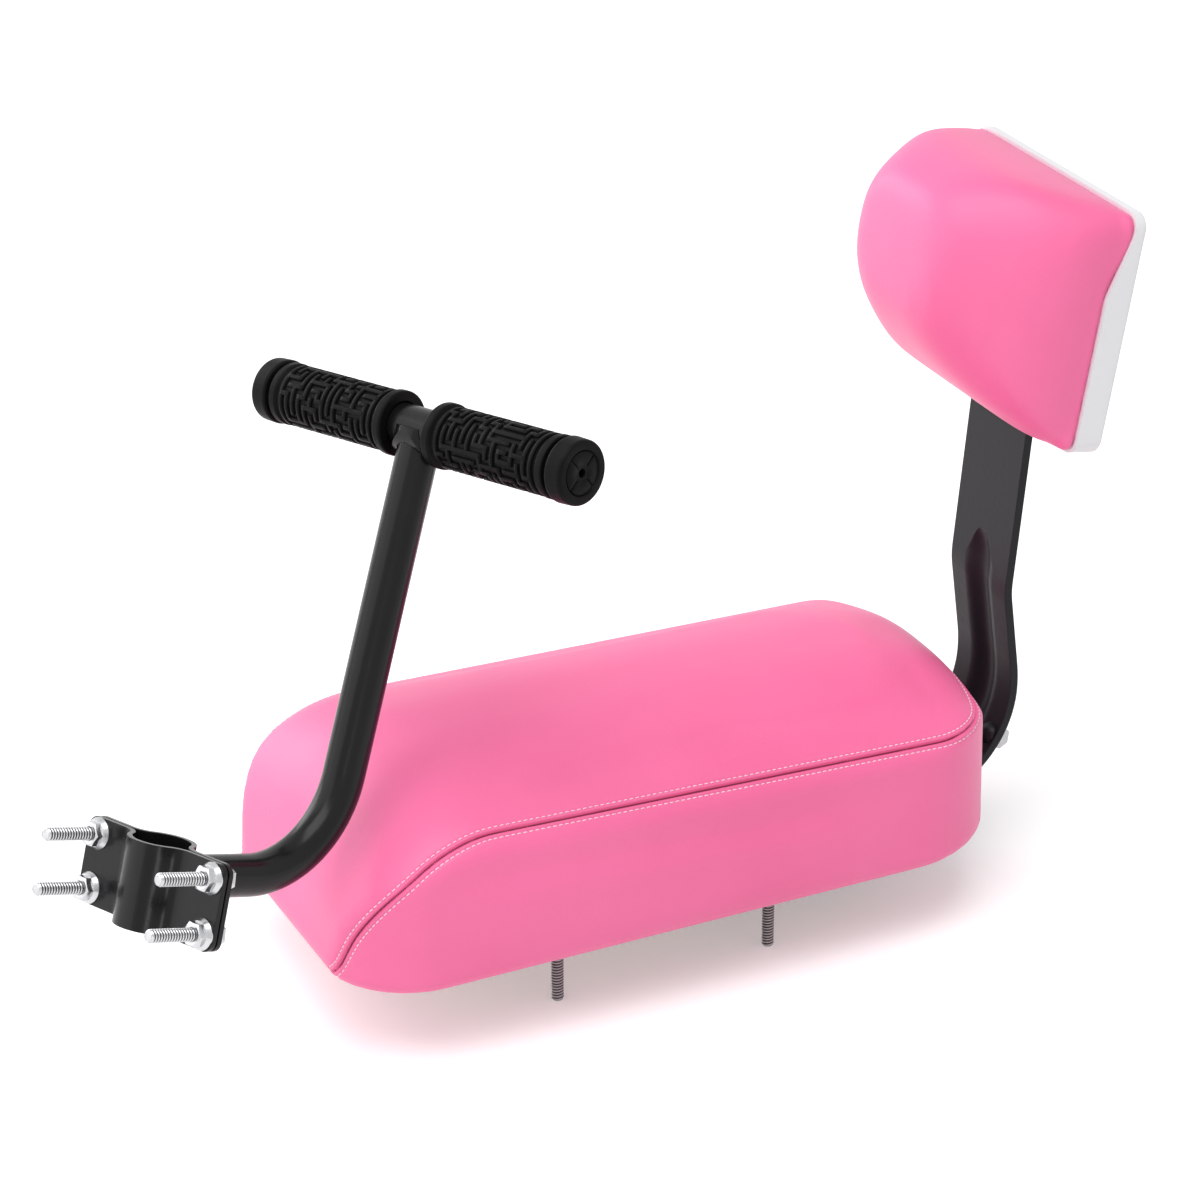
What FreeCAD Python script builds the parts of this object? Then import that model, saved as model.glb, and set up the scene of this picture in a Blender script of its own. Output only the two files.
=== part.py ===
"""Rear rack cushion seat: a padded seat on rack studs, a backrest on a flat bar and a clamp-on grab handle.

Millimetres. The origin is the centre of the rack studs on the underside of the seat's board.
+Z is up, -Y is the front of the bicycle and +X is the rider's left.
"""
import FreeCAD, Part
import math
import os

Vec = FreeCAD.Vector
X_AXIS = Vec(1, 0, 0)
Y_AXIS = Vec(0, 1, 0)
Z_AXIS = Vec(0, 0, 1)

# Fits
HOLE_CLEARANCE = 0.25
THREAD_CLEARANCE = 0.1
SOFT_CLEARANCE = 0.3
FOAM_CLEARANCE = 0.2

# Seat cushion
SEAT_FRONT_Y = -169.0
SEAT_REAR_Y = 177.0
SEAT_WIDTH = 174.0
TOP_Z_FRONT = 91.0
TOP_Z_REAR = 83.0
FRONT_LEAN = 13.0
FRONT_BOTTOM_R = 10.0
FRONT_TOP_R = 64.0
REAR_TOP_R = 36.0
REAR_BOTTOM_R = 22.0
CROWN = 22.0
SHOULDER_R = 14.0
PLAN_FRONT_R = 46.0
PLAN_REAR_R = 58.0
BOTTOM_EDGE_R = 8.0
SIDE_DRAFT = 5.0
COVER_T = 1.5
HEM_WIDTH = 14.0
SEAM_DROP = 19.0
SEAM_REAR_Z = 66.0
SEAM_FRONT_INSET = 2.0
SEAM_FRONT_LEAN = 20.0
SEAM_FRONT_R = 52.0
SEAM_REAR_R = 16.0
SEAM_TURN = 0.7

# Seat board
BOARD_T = 10.0
BOARD_MARGIN = 11.0
BOARD_END_MARGIN = 25.0
BOARD_CORNER_R = 34.0

# Rack studs, carriage bolts
STUD_D = 6.0
STUD_INSET = 32.0
STUD_SPACING_X = SEAT_WIDTH - 2 * STUD_INSET
STUD_SPACING_Y = 110.0
STUD_DROP = 38.0
STUD_HEAD_D = 16.0
STUD_HEAD_H = 3.5
STUD_TIP_CHAMFER = 0.8
STUD_NECK_SIDE = 6.0
STUD_NECK_H = 4.6
STUD_SHANK_D = 5.4

# Backrest bar
BAR_WIDTH = 50.0
BAR_T = 4.0
FOOT_START_Y = 38.0
FOOT_END_R = 12.0
BEND_R = 54.0
BEND_REAR_Y = 204.4
NECK_Y = 198.3
NECK_R = 42.0
BULGE_R = 70.0
BULGE_RISE = 6.0
BULGE_Z = BEND_R + BULGE_RISE
NECK_RISE = 43.0
NECK_Z = BULGE_Z + NECK_RISE
BAR_LEAN = 5.2
KNEE_RISE = 81.0
KNEE_Z = NECK_Z + KNEE_RISE
KNEE_R = 60.0
BACK_LEAN = 9.7
BAR_TOP_CLIMB = 104.0
BAR_TOP_R = 14.0
RIB_R = 12.0
RIB_SHOULDER_R = 10.0
RIB_DEPTH = 4.0
RIB_TOP_RUN = 1.5
RIB_TOP_RUNOUT_R = 35.0
RIB_LOW_RUNOUT_R = 36.0
RIB_TOP_TURN = 36.0
RIB_LOW_TURN = 52.0
RIB_LOW_ANGLE = 62.0

# Screws that hold the bar's foot
FOOT_SCREW_D = 6.0
FOOT_SCREW_HEAD_D = 11.0
FOOT_SCREW_HEAD_H = 3.0
FOOT_SCREW_YS = (66.0, 118.0)
TEE_FLANGE_D = 18.0
TEE_FLANGE_T = 1.5
TEE_BARREL_D = 8.0
TEE_BARREL_H = 7.0

# Bolts at the bar's lower bend
BEND_BOLT_D = 6.0
BEND_BOLT_ANGLE = 31.0
BEND_BOLT_HEAD_D = 11.0
BEND_BOLT_HEAD_H = 3.0
BEND_BOLT_TAIL = 2.0
HEX_AF = 10.0
HEX_NUT_H = 5.0

# Backrest shell and pad, measured along the leaning back
SHELL_WIDTH = 140.0
SHELL_HEIGHT = 116.6
SHELL_CORNER_R = 8.0
SHELL_WALL = 2.5
SHELL_EDGE_R = 2.0
RIM_DEPTH = 14.5
BAR_SETBACK = 7.0
BOSS_D = 16.0
RIM_TOP_DEPTH = 6.0
RIM_SCALLOP_H = 40.0
SHELL_CENTRE_CLIMB = 65.0
BACK_BOARD_T = 7.0
BACK_BOARD_MARGIN = 9.0
BACK_BOARD_R = 6.0
PAD_DEPTH = 87.0
PAD_TUCK = 0.8
PAD_ROLL_AT = 20.5
PAD_ROLL = 37.5
PAD_LIFT = 22.5
PAD_CORNER_GROWTH = 38.0
PAD_ROLL_ANGLES = (12, 28, 44, 58, 70, 80)
PAD_ROUND_LIMIT = 0.85
BACK_BOLT_D = 6.0
BACK_BOLT_SPACING = 46.0
BACK_WASHER_D = 14.0
BACK_WASHER_T = 1.2
BACK_HEAD_H = 4.0

# Grab handle, in its own frame: X along the crossbar, Y to the rear, Z along the seat post
HANDLE_X = 82.0
HANDLE_Y = -256.0
HANDLE_Z = 90.0
HANDLE_YAW = 20.7
HANDLE_ROLL = 5.4
HANDLE_LEAN = 21.3
TUBE_D = 19.0
TUBE_WALL = 1.5
STEM_BEND_R = 48.0
STEM_LOW_Z = 2.4
STEM_SLOPE = 3.6
CROSSBAR_Y = 110.6
CROSSBAR_Z = 203.0
CROSSBAR_LENGTH = 188.0
WELD_LEG = 2.4
GRIP_LENGTH = 84.0
GRIP_END_WALL = 2.6
GRIP_FLANGE_D = 29.6
GRIP_FLANGE_W = 4.5
GRIP_BODY_D = 25.4
GRIP_COLLAR_D = 28.4
GRIP_COLLAR_W = 3.4
GRIP_GROOVE_D = 23.6
GRIP_GROOVE_W = 2.6
GRIP_KNOB_D = 29.6
GRIP_KNOB_W = 9.0
GRIP_EDGE_R = 1.4
GRIP_VENT_D = 3.2

# Seat post clamp
POST_D = 25.4
PLATE_WIDTH = 87.0
PLATE_HEIGHT = 38.0
PLATE_T = 2.2
PLATE_GAP = 1.0
PLATE_CORNER_R = 5.0
CHANNEL_BLEND_R = 9.0
CLAMP_BOLT_D = 6.0
CLAMP_SPACING_X = 73.0
CLAMP_SPACING_Z = 24.0
CLAMP_TAIL = 24.0
CLAMP_HEAD_H = 4.0
NUT_H = 6.0
NUT_FLANGE_D = 14.0
NUT_FLANGE_T = 1.3
TIP_CHAMFER = 0.7

OVER = 5.0


def save(name, shape):
    """Writes one piece, or one group of like pieces, as a STEP file."""
    shape.exportStep(os.path.join("parts", name + ".step"))


def box(low, high):
    """Axis-aligned block between two corners."""
    return Part.makeBox(high[0] - low[0], high[1] - low[1], high[2] - low[2], Vec(*low))


def rod(radius, start, end):
    """Solid cylinder from one point to another."""
    axis = end - start
    return Part.makeCylinder(radius, axis.Length, start, axis)


def along(start, axis, length):
    """Point at a distance from start along a unit axis."""
    return start + axis * length


def tangent_wire(corners, place, closed=True):
    """Lines through 2-D corners (a, b, radius), joined by tangent arcs and mapped to space by place(a, b)."""
    count = len(corners)
    edges = []
    previous = None
    first = None
    for i in range(count):
        a, b, radius = corners[i]
        point = Vec(a, b, 0)
        ends = (not closed) and i in (0, count - 1)
        if ends or radius <= 0:
            start = end = point
        else:
            before = Vec(*corners[i - 1][:2], 0) - point
            after = Vec(*corners[(i + 1) % count][:2], 0) - point
            before.normalize()
            after.normalize()
            half = before.getAngle(after) / 2
            start = point + before * (radius / math.tan(half))
            end = point + after * (radius / math.tan(half))
            bisector = before + after
            bisector.normalize()
            middle = point + bisector * (radius / math.sin(half) - radius)
        if previous is not None:
            edges.append(Part.LineSegment(place(previous.x, previous.y), place(start.x, start.y)).toShape())
        if first is None:
            first = start
        if start is not end:
            through = [place(p.x, p.y) for p in (start, middle, end)]
            edges.append(Part.Arc(*through).toShape())
        previous = end
    if closed:
        edges.append(Part.LineSegment(place(previous.x, previous.y), place(first.x, first.y)).toShape())
    return Part.Wire(edges)


def extruded(wire, direction):
    """Solid swept from a closed flat wire."""
    return Part.Face(wire).extrude(direction)


def rounded_rect(width, height, radius):
    """Corners of a rounded rectangle about its centre."""
    w, h = width / 2, height / 2
    return [(-w, -h, radius), (w, -h, radius), (w, h, radius), (-w, h, radius)]


def flat_xy(z):
    """Map from the plane to a horizontal plane."""
    return lambda a, b: Vec(a, b, z)


def hexagon(across_flats, height, start, axis):
    """Hexagonal prism along an axis."""
    radius = across_flats / math.sqrt(3)
    turns = [i * math.pi / 3 for i in range(7)]
    points = [Vec(radius * math.cos(t), radius * math.sin(t), 0) for t in turns]
    prism = Part.Face(Part.makePolygon(points)).extrude(Vec(0, 0, height))
    prism.Placement = FreeCAD.Placement(start, FreeCAD.Rotation(Z_AXIS, axis))
    return prism


def turned(profile, start, axis):
    """Revolves a closed (radius, height) outline about an axis."""
    points = [Vec(r, 0, h) for r, h in profile]
    solid = Part.Face(Part.makePolygon(points + points[:1])).revolve(Vec(0, 0, 0), Z_AXIS, 360)
    solid.Placement = FreeCAD.Placement(start, FreeCAD.Rotation(Z_AXIS, axis))
    return solid


def chamfered_rod(radius, length, chamfer, start, axis):
    """Bolt shank whose far end is chamfered."""
    outline = [(0, 0), (radius, 0), (radius, length - chamfer), (radius - chamfer, length), (0, length)]
    return turned(outline, start, axis)


def domed_head(diameter, height, start, axis):
    """Low domed bolt head that rises from start along axis."""
    sphere_r = (diameter * diameter / 4 + height * height) / (2 * height)
    ball = Part.makeSphere(sphere_r, along(start, axis, height - sphere_r))
    return ball.common(Part.makeCylinder(diameter, height + OVER, start, axis))


def tee_nut(start, axis, bolt_d):
    """Tee nut: a flange at start and a barrel that runs back along -axis."""
    flange = Part.makeCylinder(TEE_FLANGE_D / 2, TEE_FLANGE_T, start, axis)
    barrel = Part.makeCylinder(TEE_BARREL_D / 2, TEE_BARREL_H, along(start, axis, -TEE_BARREL_H), axis)
    low = along(start, axis, -OVER - TEE_BARREL_H)
    bore = rod(bolt_d / 2 + THREAD_CLEARANCE, low, along(start, axis, OVER))
    return flange.fuse(barrel).cut(bore).removeSplitter()


def hole(diameter, centre, axis, reach):
    """Clearance hole through a point, reaching both ways."""
    return rod(diameter / 2 + HOLE_CLEARANCE, along(centre, axis, -reach), along(centre, axis, reach))


# Seat cushion


def top_drop(x, half_width):
    """How far the top line lies below its crest at a distance from the centre plane: crown and shoulder."""
    drop = CROWN * (x / half_width) ** 2
    into = abs(x) - (half_width - SHOULDER_R)
    if into > 0:
        drop += SHOULDER_R - math.sqrt(max(SHOULDER_R ** 2 - into ** 2, 0))
    return drop


def side_profile(x, half_width, inset):
    """Outline of the cushion at one station across its width, seen from the side."""
    drop = top_drop(x, half_width) + inset
    lean = FRONT_LEAN / TOP_Z_FRONT
    slant = inset * math.sqrt(1 + lean * lean)
    front_bottom = SEAT_FRONT_Y + slant + lean * inset
    front_top_z = TOP_Z_FRONT - drop
    rear = SEAT_REAR_Y - inset
    corners = [
        (front_bottom, inset, max(FRONT_BOTTOM_R - inset, 1.0)),
        (SEAT_FRONT_Y + slant + lean * front_top_z, front_top_z, FRONT_TOP_R - inset),
        (rear, TOP_Z_REAR - drop, REAR_TOP_R - inset),
        (rear, inset, REAR_BOTTOM_R - inset),
    ]
    return tangent_wire(corners, lambda a, b: Vec(x, a, b))


def plan_wire(side_inset, z):
    """Plan of the cushion at a height, narrowed at the sides; the ends are set by the side profile."""
    half = SEAT_WIDTH / 2 - side_inset
    front = SEAT_FRONT_Y + min(side_inset, COVER_T)
    rear = SEAT_REAR_Y - min(side_inset, COVER_T)
    corners = [
        (-half, front, PLAN_FRONT_R - side_inset),
        (half, front, PLAN_FRONT_R - side_inset),
        (half, rear, PLAN_REAR_R - side_inset),
        (-half, rear, PLAN_REAR_R - side_inset),
    ]
    return tangent_wire(corners, flat_xy(z))


def cushion(inset):
    """Cushion body: side profiles lofted across the width, trimmed to the rounded plan."""
    half = SEAT_WIDTH / 2
    shoulder = half - SHOULDER_R
    steps = [0.0, 0.45 * shoulder, 0.8 * shoulder, shoulder]
    steps += [shoulder + SHOULDER_R * math.sin(math.radians(a)) for a in (25, 45, 63, 78)]
    stations = [-s for s in reversed(steps[1:])] + steps
    body = Part.makeLoft([side_profile(s, half, inset) for s in stations], True, False, False, 5)
    low = plan_wire(inset, inset)
    high = plan_wire(inset + SIDE_DRAFT, TOP_Z_FRONT + OVER)
    plan = Part.makeLoft([low, high], True, True)
    under = [e for e in plan.Edges if all(abs(v.Point.z - inset) < 1e-6 for v in e.Vertexes)]
    plan = plan.makeFillet(BOTTOM_EDGE_R - inset, under)
    return body.common(plan)


def board_outline(shrink, z):
    """Wire of the seat board's outline, shrunk by a margin."""
    width = SEAT_WIDTH - 2 * (BOARD_MARGIN + shrink)
    length = SEAT_REAR_Y - SEAT_FRONT_Y - 2 * (BOARD_END_MARGIN + shrink)
    middle = (SEAT_REAR_Y + SEAT_FRONT_Y) / 2
    radius = max(BOARD_CORNER_R - shrink, 2.0)
    return tangent_wire(rounded_rect(width, length, radius), lambda a, b: Vec(a, b + middle, z))


def seam_tool():
    """Space above and ahead of the seam, where the top panel lies."""
    far = SEAT_WIDTH
    lift = TOP_Z_FRONT + 2 * OVER
    start_y = SEAT_FRONT_Y + SEAM_FRONT_INSET
    front_z = TOP_Z_FRONT - SEAM_DROP
    rear_z = TOP_Z_REAR - SEAM_DROP
    knee_y = SEAT_REAR_Y - PLAN_REAR_R * SEAM_TURN
    corners = [
        (start_y, -OVER, 0),
        (start_y + SEAM_FRONT_LEAN, front_z, SEAM_FRONT_R),
        (knee_y, rear_z, SEAM_REAR_R),
        (SEAT_REAR_Y, SEAM_REAR_Z, 0),
        (SEAT_REAR_Y + OVER, SEAM_REAR_Z, 0),
        (SEAT_REAR_Y + OVER, lift, 0),
        (SEAT_FRONT_Y - OVER, lift, 0),
        (SEAT_FRONT_Y - OVER, -OVER, 0),
    ]
    wedge = extruded(tangent_wire(corners, lambda a, b: Vec(-far, a, b)), Vec(2 * far, 0, 0))
    half_front = SEAT_WIDTH / 2 - PLAN_FRONT_R
    hem_end = SEAT_FRONT_Y + BOARD_END_MARGIN + HEM_WIDTH
    edge_end = SEAT_FRONT_Y + FRONT_BOTTOM_R
    hem = box((-half_front, SEAT_FRONT_Y - OVER, -OVER), (half_front, hem_end + OVER, 2 * COVER_T))
    edge = box((-half_front, SEAT_FRONT_Y - OVER, -OVER), (half_front, edge_end, FRONT_BOTTOM_R))
    return wedge.fuse(hem).fuse(edge)


def stud_centres():
    """Centres of the rack studs on the underside."""
    dx, dy = STUD_SPACING_X / 2, STUD_SPACING_Y / 2
    return [Vec(sx * dx, sy * dy, 0) for sx in (-1, 1) for sy in (-1, 1)]


def stud_neck(centre, grow):
    """Square neck of a rack stud, just under its head, with a margin."""
    side = STUD_NECK_SIDE / 2 + grow
    low = BOARD_T - STUD_NECK_H - grow
    return box((centre.x - side, centre.y - side, low), (centre.x + side, centre.y + side, BOARD_T))


def rack_stud(centre):
    """Carriage bolt: a low dome on the board, a square neck and a plain shank in it, and a thread below."""
    top = centre + Z_AXIS * BOARD_T
    head = domed_head(STUD_HEAD_D, STUD_HEAD_H, top, Z_AXIS)
    shank = rod(STUD_SHANK_D / 2, centre, top)
    thread = chamfered_rod(STUD_D / 2, STUD_DROP, STUD_TIP_CHAMFER, centre, -Z_AXIS)
    return head.multiFuse([stud_neck(centre, 0.0), shank, thread]).removeSplitter()


def foot_screw_centres():
    """Centres of the foot's screws on the underside."""
    return [Vec(0, y, 0) for y in FOOT_SCREW_YS]


def bar_relief(grow):
    """Space that the bar's lower bend takes from the cushion's rear edge, with a margin."""
    margin = grow + SOFT_CLEARANCE
    strip = bar_strip(-BAR_T, BAR_T / 2 + margin, BAR_WIDTH / 2 + margin)
    start = BEND_REAR_Y - BEND_R
    return strip.common(box((-BAR_WIDTH, start, -BAR_WIDTH), (BAR_WIDTH, 2 * BEND_REAR_Y, BAR_WIDTH)))


def make_seat():
    """Cover panels, foam, board, studs, foot screws and tee nuts."""
    outer = cushion(0.0).cut(bar_relief(0.0))
    inner = cushion(COVER_T).cut(bar_relief(COVER_T))
    opening = extruded(board_outline(HEM_WIDTH, -OVER), Vec(0, 0, 2 * OVER))
    cover = outer.cut(inner).cut(opening)
    tool = seam_tool()
    save("seat_top_panel", cover.common(tool))
    save("seat_side_band", cover.cut(tool))

    board = extruded(board_outline(0.0, COVER_T), Vec(0, 0, BOARD_T - COVER_T))
    board = board.cut(bar_relief(COVER_T + SOFT_CLEARANCE))
    filling = cushion(COVER_T + FOAM_CLEARANCE).cut(bar_relief(COVER_T + FOAM_CLEARANCE))
    foam = filling.cut(extruded(board_outline(-SOFT_CLEARANCE, -OVER), Vec(0, 0, BOARD_T + OVER)))
    board = board.fuse(extruded(board_outline(HEM_WIDTH + SOFT_CLEARANCE, 0.0), Vec(0, 0, COVER_T)))
    studs = []
    tees = []
    screws = []
    top = Vec(0, 0, BOARD_T)
    for centre in stud_centres():
        studs.append(rack_stud(centre))
        board = board.cut(hole(STUD_D, centre, Z_AXIS, BOARD_T + OVER)).cut(stud_neck(centre, HOLE_CLEARANCE))
        head_top = centre + top + Z_AXIS * (STUD_HEAD_H + SOFT_CLEARANCE)
        foam = foam.cut(rod(STUD_HEAD_D / 2 + SOFT_CLEARANCE, centre, head_top))
    for centre in foot_screw_centres():
        tees.append(tee_nut(centre + top, Z_AXIS, FOOT_SCREW_D))
        head = Vec(centre.x, centre.y, -BAR_T)
        shank = rod(FOOT_SCREW_D / 2, head, centre + top)
        dome = domed_head(FOOT_SCREW_HEAD_D, FOOT_SCREW_HEAD_H, head, -Z_AXIS)
        screws.append(shank.fuse(dome).removeSplitter())
        board = board.cut(hole(TEE_BARREL_D, centre, Z_AXIS, BOARD_T + OVER))
        flange_top = centre + top + Z_AXIS * (TEE_FLANGE_T + SOFT_CLEARANCE)
        foam = foam.cut(rod(TEE_FLANGE_D / 2 + SOFT_CLEARANCE, centre, flange_top))
    save("seat_foam", foam)
    save("seat_base_board", board.removeSplitter())
    save("rack_studs", Part.makeCompound(studs))
    save("foot_tee_nuts", Part.makeCompound(tees))
    save("foot_screws", Part.makeCompound(screws))


# Backrest bar


def bar_corners():
    """Corners (y, z, radius) of the bar's middle line, from the foot's tip to the top end."""
    foot_z = -BAR_T / 2
    lean = math.tan(math.radians(BAR_LEAN))
    knee_y = NECK_Y + (KNEE_Z - NECK_Z) * lean
    climb = math.radians(BACK_LEAN)
    return [
        (FOOT_START_Y, foot_z, 0),
        (BEND_REAR_Y, foot_z, BEND_R),
        (BEND_REAR_Y, BULGE_Z + foot_z, BULGE_R),
        (NECK_Y, NECK_Z, NECK_R),
        (knee_y, KNEE_Z, KNEE_R),
        (knee_y + BAR_TOP_CLIMB * math.sin(climb), KNEE_Z + BAR_TOP_CLIMB * math.cos(climb), 0),
    ]


def offset_corners(corners, distance):
    """The same open path moved sideways to its left, with its bends kept concentric."""
    moved = []
    lines = []
    for (a, b, _), (c, d, _) in zip(corners, corners[1:]):
        run = math.hypot(c - a, d - b)
        left = (-(d - b) / run * distance, (c - a) / run * distance)
        lines.append(((a + left[0], b + left[1]), ((c - a) / run, (d - b) / run)))
    for i, (a, b, radius) in enumerate(corners):
        if i == 0:
            moved.append((*lines[0][0], 0))
        elif i == len(corners) - 1:
            last = lines[-1]
            run = math.hypot(a - corners[i - 1][0], b - corners[i - 1][1])
            moved.append((last[0][0] + last[1][0] * run, last[0][1] + last[1][1] * run, 0))
        else:
            (p, u), (q, v) = lines[i - 1], lines[i]
            cross = u[0] * v[1] - u[1] * v[0]
            t = ((q[0] - p[0]) * v[1] - (q[1] - p[1]) * v[0]) / cross
            grow = -distance if cross > 0 else distance
            moved.append((p[0] + u[0] * t, p[1] + u[1] * t, radius + grow))
    return moved


def bar_strip(low, high, half_width):
    """Solid between two offsets of the bar's middle line, across a width."""
    def place(a, b):
        return Vec(-half_width, a, b)

    first = tangent_wire(offset_corners(bar_corners(), low), place, closed=False)
    second = tangent_wire(offset_corners(bar_corners(), high), place, closed=False)
    ends = [
        Part.LineSegment(first.OrderedVertexes[i].Point, second.OrderedVertexes[i].Point).toShape()
        for i in (0, -1)
    ]
    outline = Part.Wire(Part.__sortEdges__(list(first.Edges) + list(second.Edges) + ends))
    return extruded(outline, Vec(2 * half_width, 0, 0))


def rib_half_width():
    """Distance from the rib's middle to where its shoulder meets the flat of the bar."""
    reach = RIB_R + RIB_SHOULDER_R
    return math.sqrt(reach ** 2 - (reach - RIB_DEPTH) ** 2)


def rib_section(skin, lid, place):
    """Outline of the rib at a depth in the wall: a round valley, two rounded shoulders and a flat lid."""
    half = rib_half_width()
    reach = RIB_R + RIB_SHOULDER_R
    valley = Vec(0, RIB_R - RIB_DEPTH, 0)
    edges = []
    meets = []
    for side in (-1, 1):
        shoulder = Vec(side * half, -RIB_SHOULDER_R, 0)
        inward = (valley - shoulder) * (1 / reach)
        bisector = inward + Y_AXIS
        bisector.normalize()
        radius = RIB_SHOULDER_R - skin
        through = [shoulder + d * radius for d in (Y_AXIS, bisector, inward)]
        edges.append(Part.Arc(*[place(p.x, p.y) for p in through]).toShape())
        edges.append(Part.LineSegment(place(side * half, lid), place(side * half, -skin)).toShape())
        meets.append(through[-1])
    low = valley - Y_AXIS * (RIB_R + skin)
    edges.append(Part.Arc(*[place(p.x, p.y) for p in (meets[0], low, meets[1])]).toShape())
    edges.append(Part.LineSegment(place(-half, lid), place(half, lid)).toShape())
    return Part.Wire(Part.__sortEdges__(edges))


def rib_sweep(skin, lid):
    """The rib's outline swept along the bar's front face, lifted off at both ends to let the rib run out."""
    face = tangent_wire(offset_corners(bar_corners(), BAR_T / 2), lambda a, b: Vec(0, a, b), closed=False)
    bend_r = BEND_R - BAR_T / 2
    centre = Vec(0, BEND_REAR_Y - BEND_R, BEND_R - BAR_T / 2)

    def on_bend(middle, radius, angle):
        turn = math.radians(angle)
        return middle + Vec(0, math.cos(turn), -math.sin(turn)) * radius

    low_end = RIB_LOW_ANGLE + RIB_LOW_TURN
    lifted = on_bend(centre, bend_r - RIB_LOW_RUNOUT_R, RIB_LOW_ANGLE)
    angles = (low_end, RIB_LOW_ANGLE + RIB_LOW_TURN / 2, RIB_LOW_ANGLE)
    path = [Part.Arc(*[on_bend(lifted, RIB_LOW_RUNOUT_R, a) for a in angles]).toShape()]
    angles = (RIB_LOW_ANGLE, RIB_LOW_ANGLE / 2, 0)
    path.append(Part.Arc(*[on_bend(centre, bend_r, a) for a in angles]).toShape())
    path += face.OrderedEdges[2:6]
    last = face.OrderedEdges[6]
    up = last.tangentAt(last.FirstParameter)
    front = Vec(0, -up.z, up.y)
    base = last.valueAt(last.FirstParameter)
    leave = along(base, up, RIB_TOP_RUN)
    path.append(Part.LineSegment(base, leave).toShape())
    turns = [math.radians(RIB_TOP_TURN * share) for share in (0, 0.5, 1)]
    rise = [
        leave + (front * (1 - math.cos(t)) + up * math.sin(t)) * RIB_TOP_RUNOUT_R
        for t in turns
    ]
    path.append(Part.Arc(*rise).toShape())
    start = on_bend(lifted, RIB_LOW_RUNOUT_R, low_end)
    normal = lifted - start
    normal.normalize()
    section = rib_section(skin, lid, lambda x, h: start + X_AXIS * x + normal * h)
    return Part.Wire(path).makePipe(Part.Face(section))


def back_frame():
    """Placement of the backrest: X across, Y to the rear along the back's normal, Z up the leaning back."""
    knee = bar_corners()[-2]
    lean = FreeCAD.Rotation(X_AXIS, -BACK_LEAN)
    up = lean.multVec(Z_AXIS)
    rear = lean.multVec(Y_AXIS)
    origin = Vec(0, knee[0], knee[1]) + up * SHELL_CENTRE_CLIMB + rear * (BAR_T / 2 + BAR_SETBACK)
    return FreeCAD.Placement(origin, lean)


def back_bolt_points():
    """Bolt centres on the shell's rear face, in the backrest's frame."""
    return [Vec(0, 0, s * BACK_BOLT_SPACING / 2) for s in (-1, 1)]


def bend_bolt_frames():
    """Centre on the bar's middle line and outward normal of each bolt at the lower bend."""
    turn = math.radians(BEND_BOLT_ANGLE)
    normal = Vec(0, math.cos(turn), -math.sin(turn))
    centre = Vec(0, BEND_REAR_Y - BEND_R, BEND_R - BAR_T / 2)
    aside = rib_half_width() + HEX_AF / math.sqrt(3) + THREAD_CLEARANCE
    return [(centre + normal * BEND_R + X_AXIS * (s * aside), normal) for s in (-1, 1)]


def make_bar():
    """Bent flat bar with its pressed rib, and the small bolts at its lower bend."""
    half = BAR_WIDTH / 2
    bar = bar_strip(-BAR_T / 2, BAR_T / 2, half)
    rear_skin = bar_strip(-BAR_T / 2 - 2 * RIB_DEPTH, -BAR_T / 2, half)
    bulge = rear_skin.common(rib_sweep(BAR_T, -BAR_T / 2))
    bar = bar.fuse(bulge).cut(rib_sweep(0.0, 2 * RIB_DEPTH)).removeSplitter()
    reach = 2 * BAR_WIDTH
    foot = tangent_wire(
        [
            (-half, FOOT_START_Y, FOOT_END_R),
            (half, FOOT_START_Y, FOOT_END_R),
            (half, reach * 3, 0),
            (-half, reach * 3, 0),
        ],
        flat_xy(-reach),
    )
    bar = bar.common(extruded(foot, Vec(0, 0, reach * 6)))
    place = back_frame()
    top_climb = BAR_TOP_CLIMB - SHELL_CENTRE_CLIMB
    top = tangent_wire(
        [
            (-half, -reach * 3, 0),
            (half, -reach * 3, 0),
            (half, top_climb, BAR_TOP_R),
            (-half, top_climb, BAR_TOP_R),
        ],
        lambda a, b: Vec(a, -reach * 4, b),
    )
    cap = extruded(top, Vec(0, reach * 8, 0))
    cap.Placement = place
    bar = bar.common(cap)
    for centre in foot_screw_centres():
        bar = bar.cut(hole(FOOT_SCREW_D, centre, Z_AXIS, BAR_T + OVER))
    across = place.Rotation.multVec(Y_AXIS)
    for point in back_bolt_points():
        bar = bar.cut(hole(BACK_BOLT_D, place.multVec(point), across, BAR_SETBACK + BAR_T + OVER))
    bolts = []
    nuts = []
    for centre, normal in bend_bolt_frames():
        bar = bar.cut(hole(BEND_BOLT_D, centre, normal, BAR_T + OVER))
        hollow_r = BEND_R - BAR_T / 2
        rise = hollow_r - math.sqrt(hollow_r ** 2 - (BEND_BOLT_HEAD_D / 2) ** 2)
        inside = along(centre, normal, -BAR_T / 2 - rise)
        outside = along(centre, normal, BAR_T / 2)
        length = rise + BAR_T + HEX_NUT_H + BEND_BOLT_TAIL
        shank = chamfered_rod(BEND_BOLT_D / 2, length, TIP_CHAMFER, inside, normal)
        dome = domed_head(BEND_BOLT_HEAD_D, BEND_BOLT_HEAD_H, inside, -normal)
        bolts.append(shank.fuse(dome).removeSplitter())
        bore = rod(BEND_BOLT_D / 2 + THREAD_CLEARANCE, inside, along(outside, normal, HEX_NUT_H + OVER))
        nuts.append(hexagon(HEX_AF, HEX_NUT_H, outside, normal).cut(bore))
    save("backrest_bar", bar)
    save("bend_bolts", Part.makeCompound(bolts))
    save("bend_nuts", Part.makeCompound(nuts))


# Backrest shell and pad, built with Y from 0 at the shell's rear face towards -Y at the front


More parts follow.
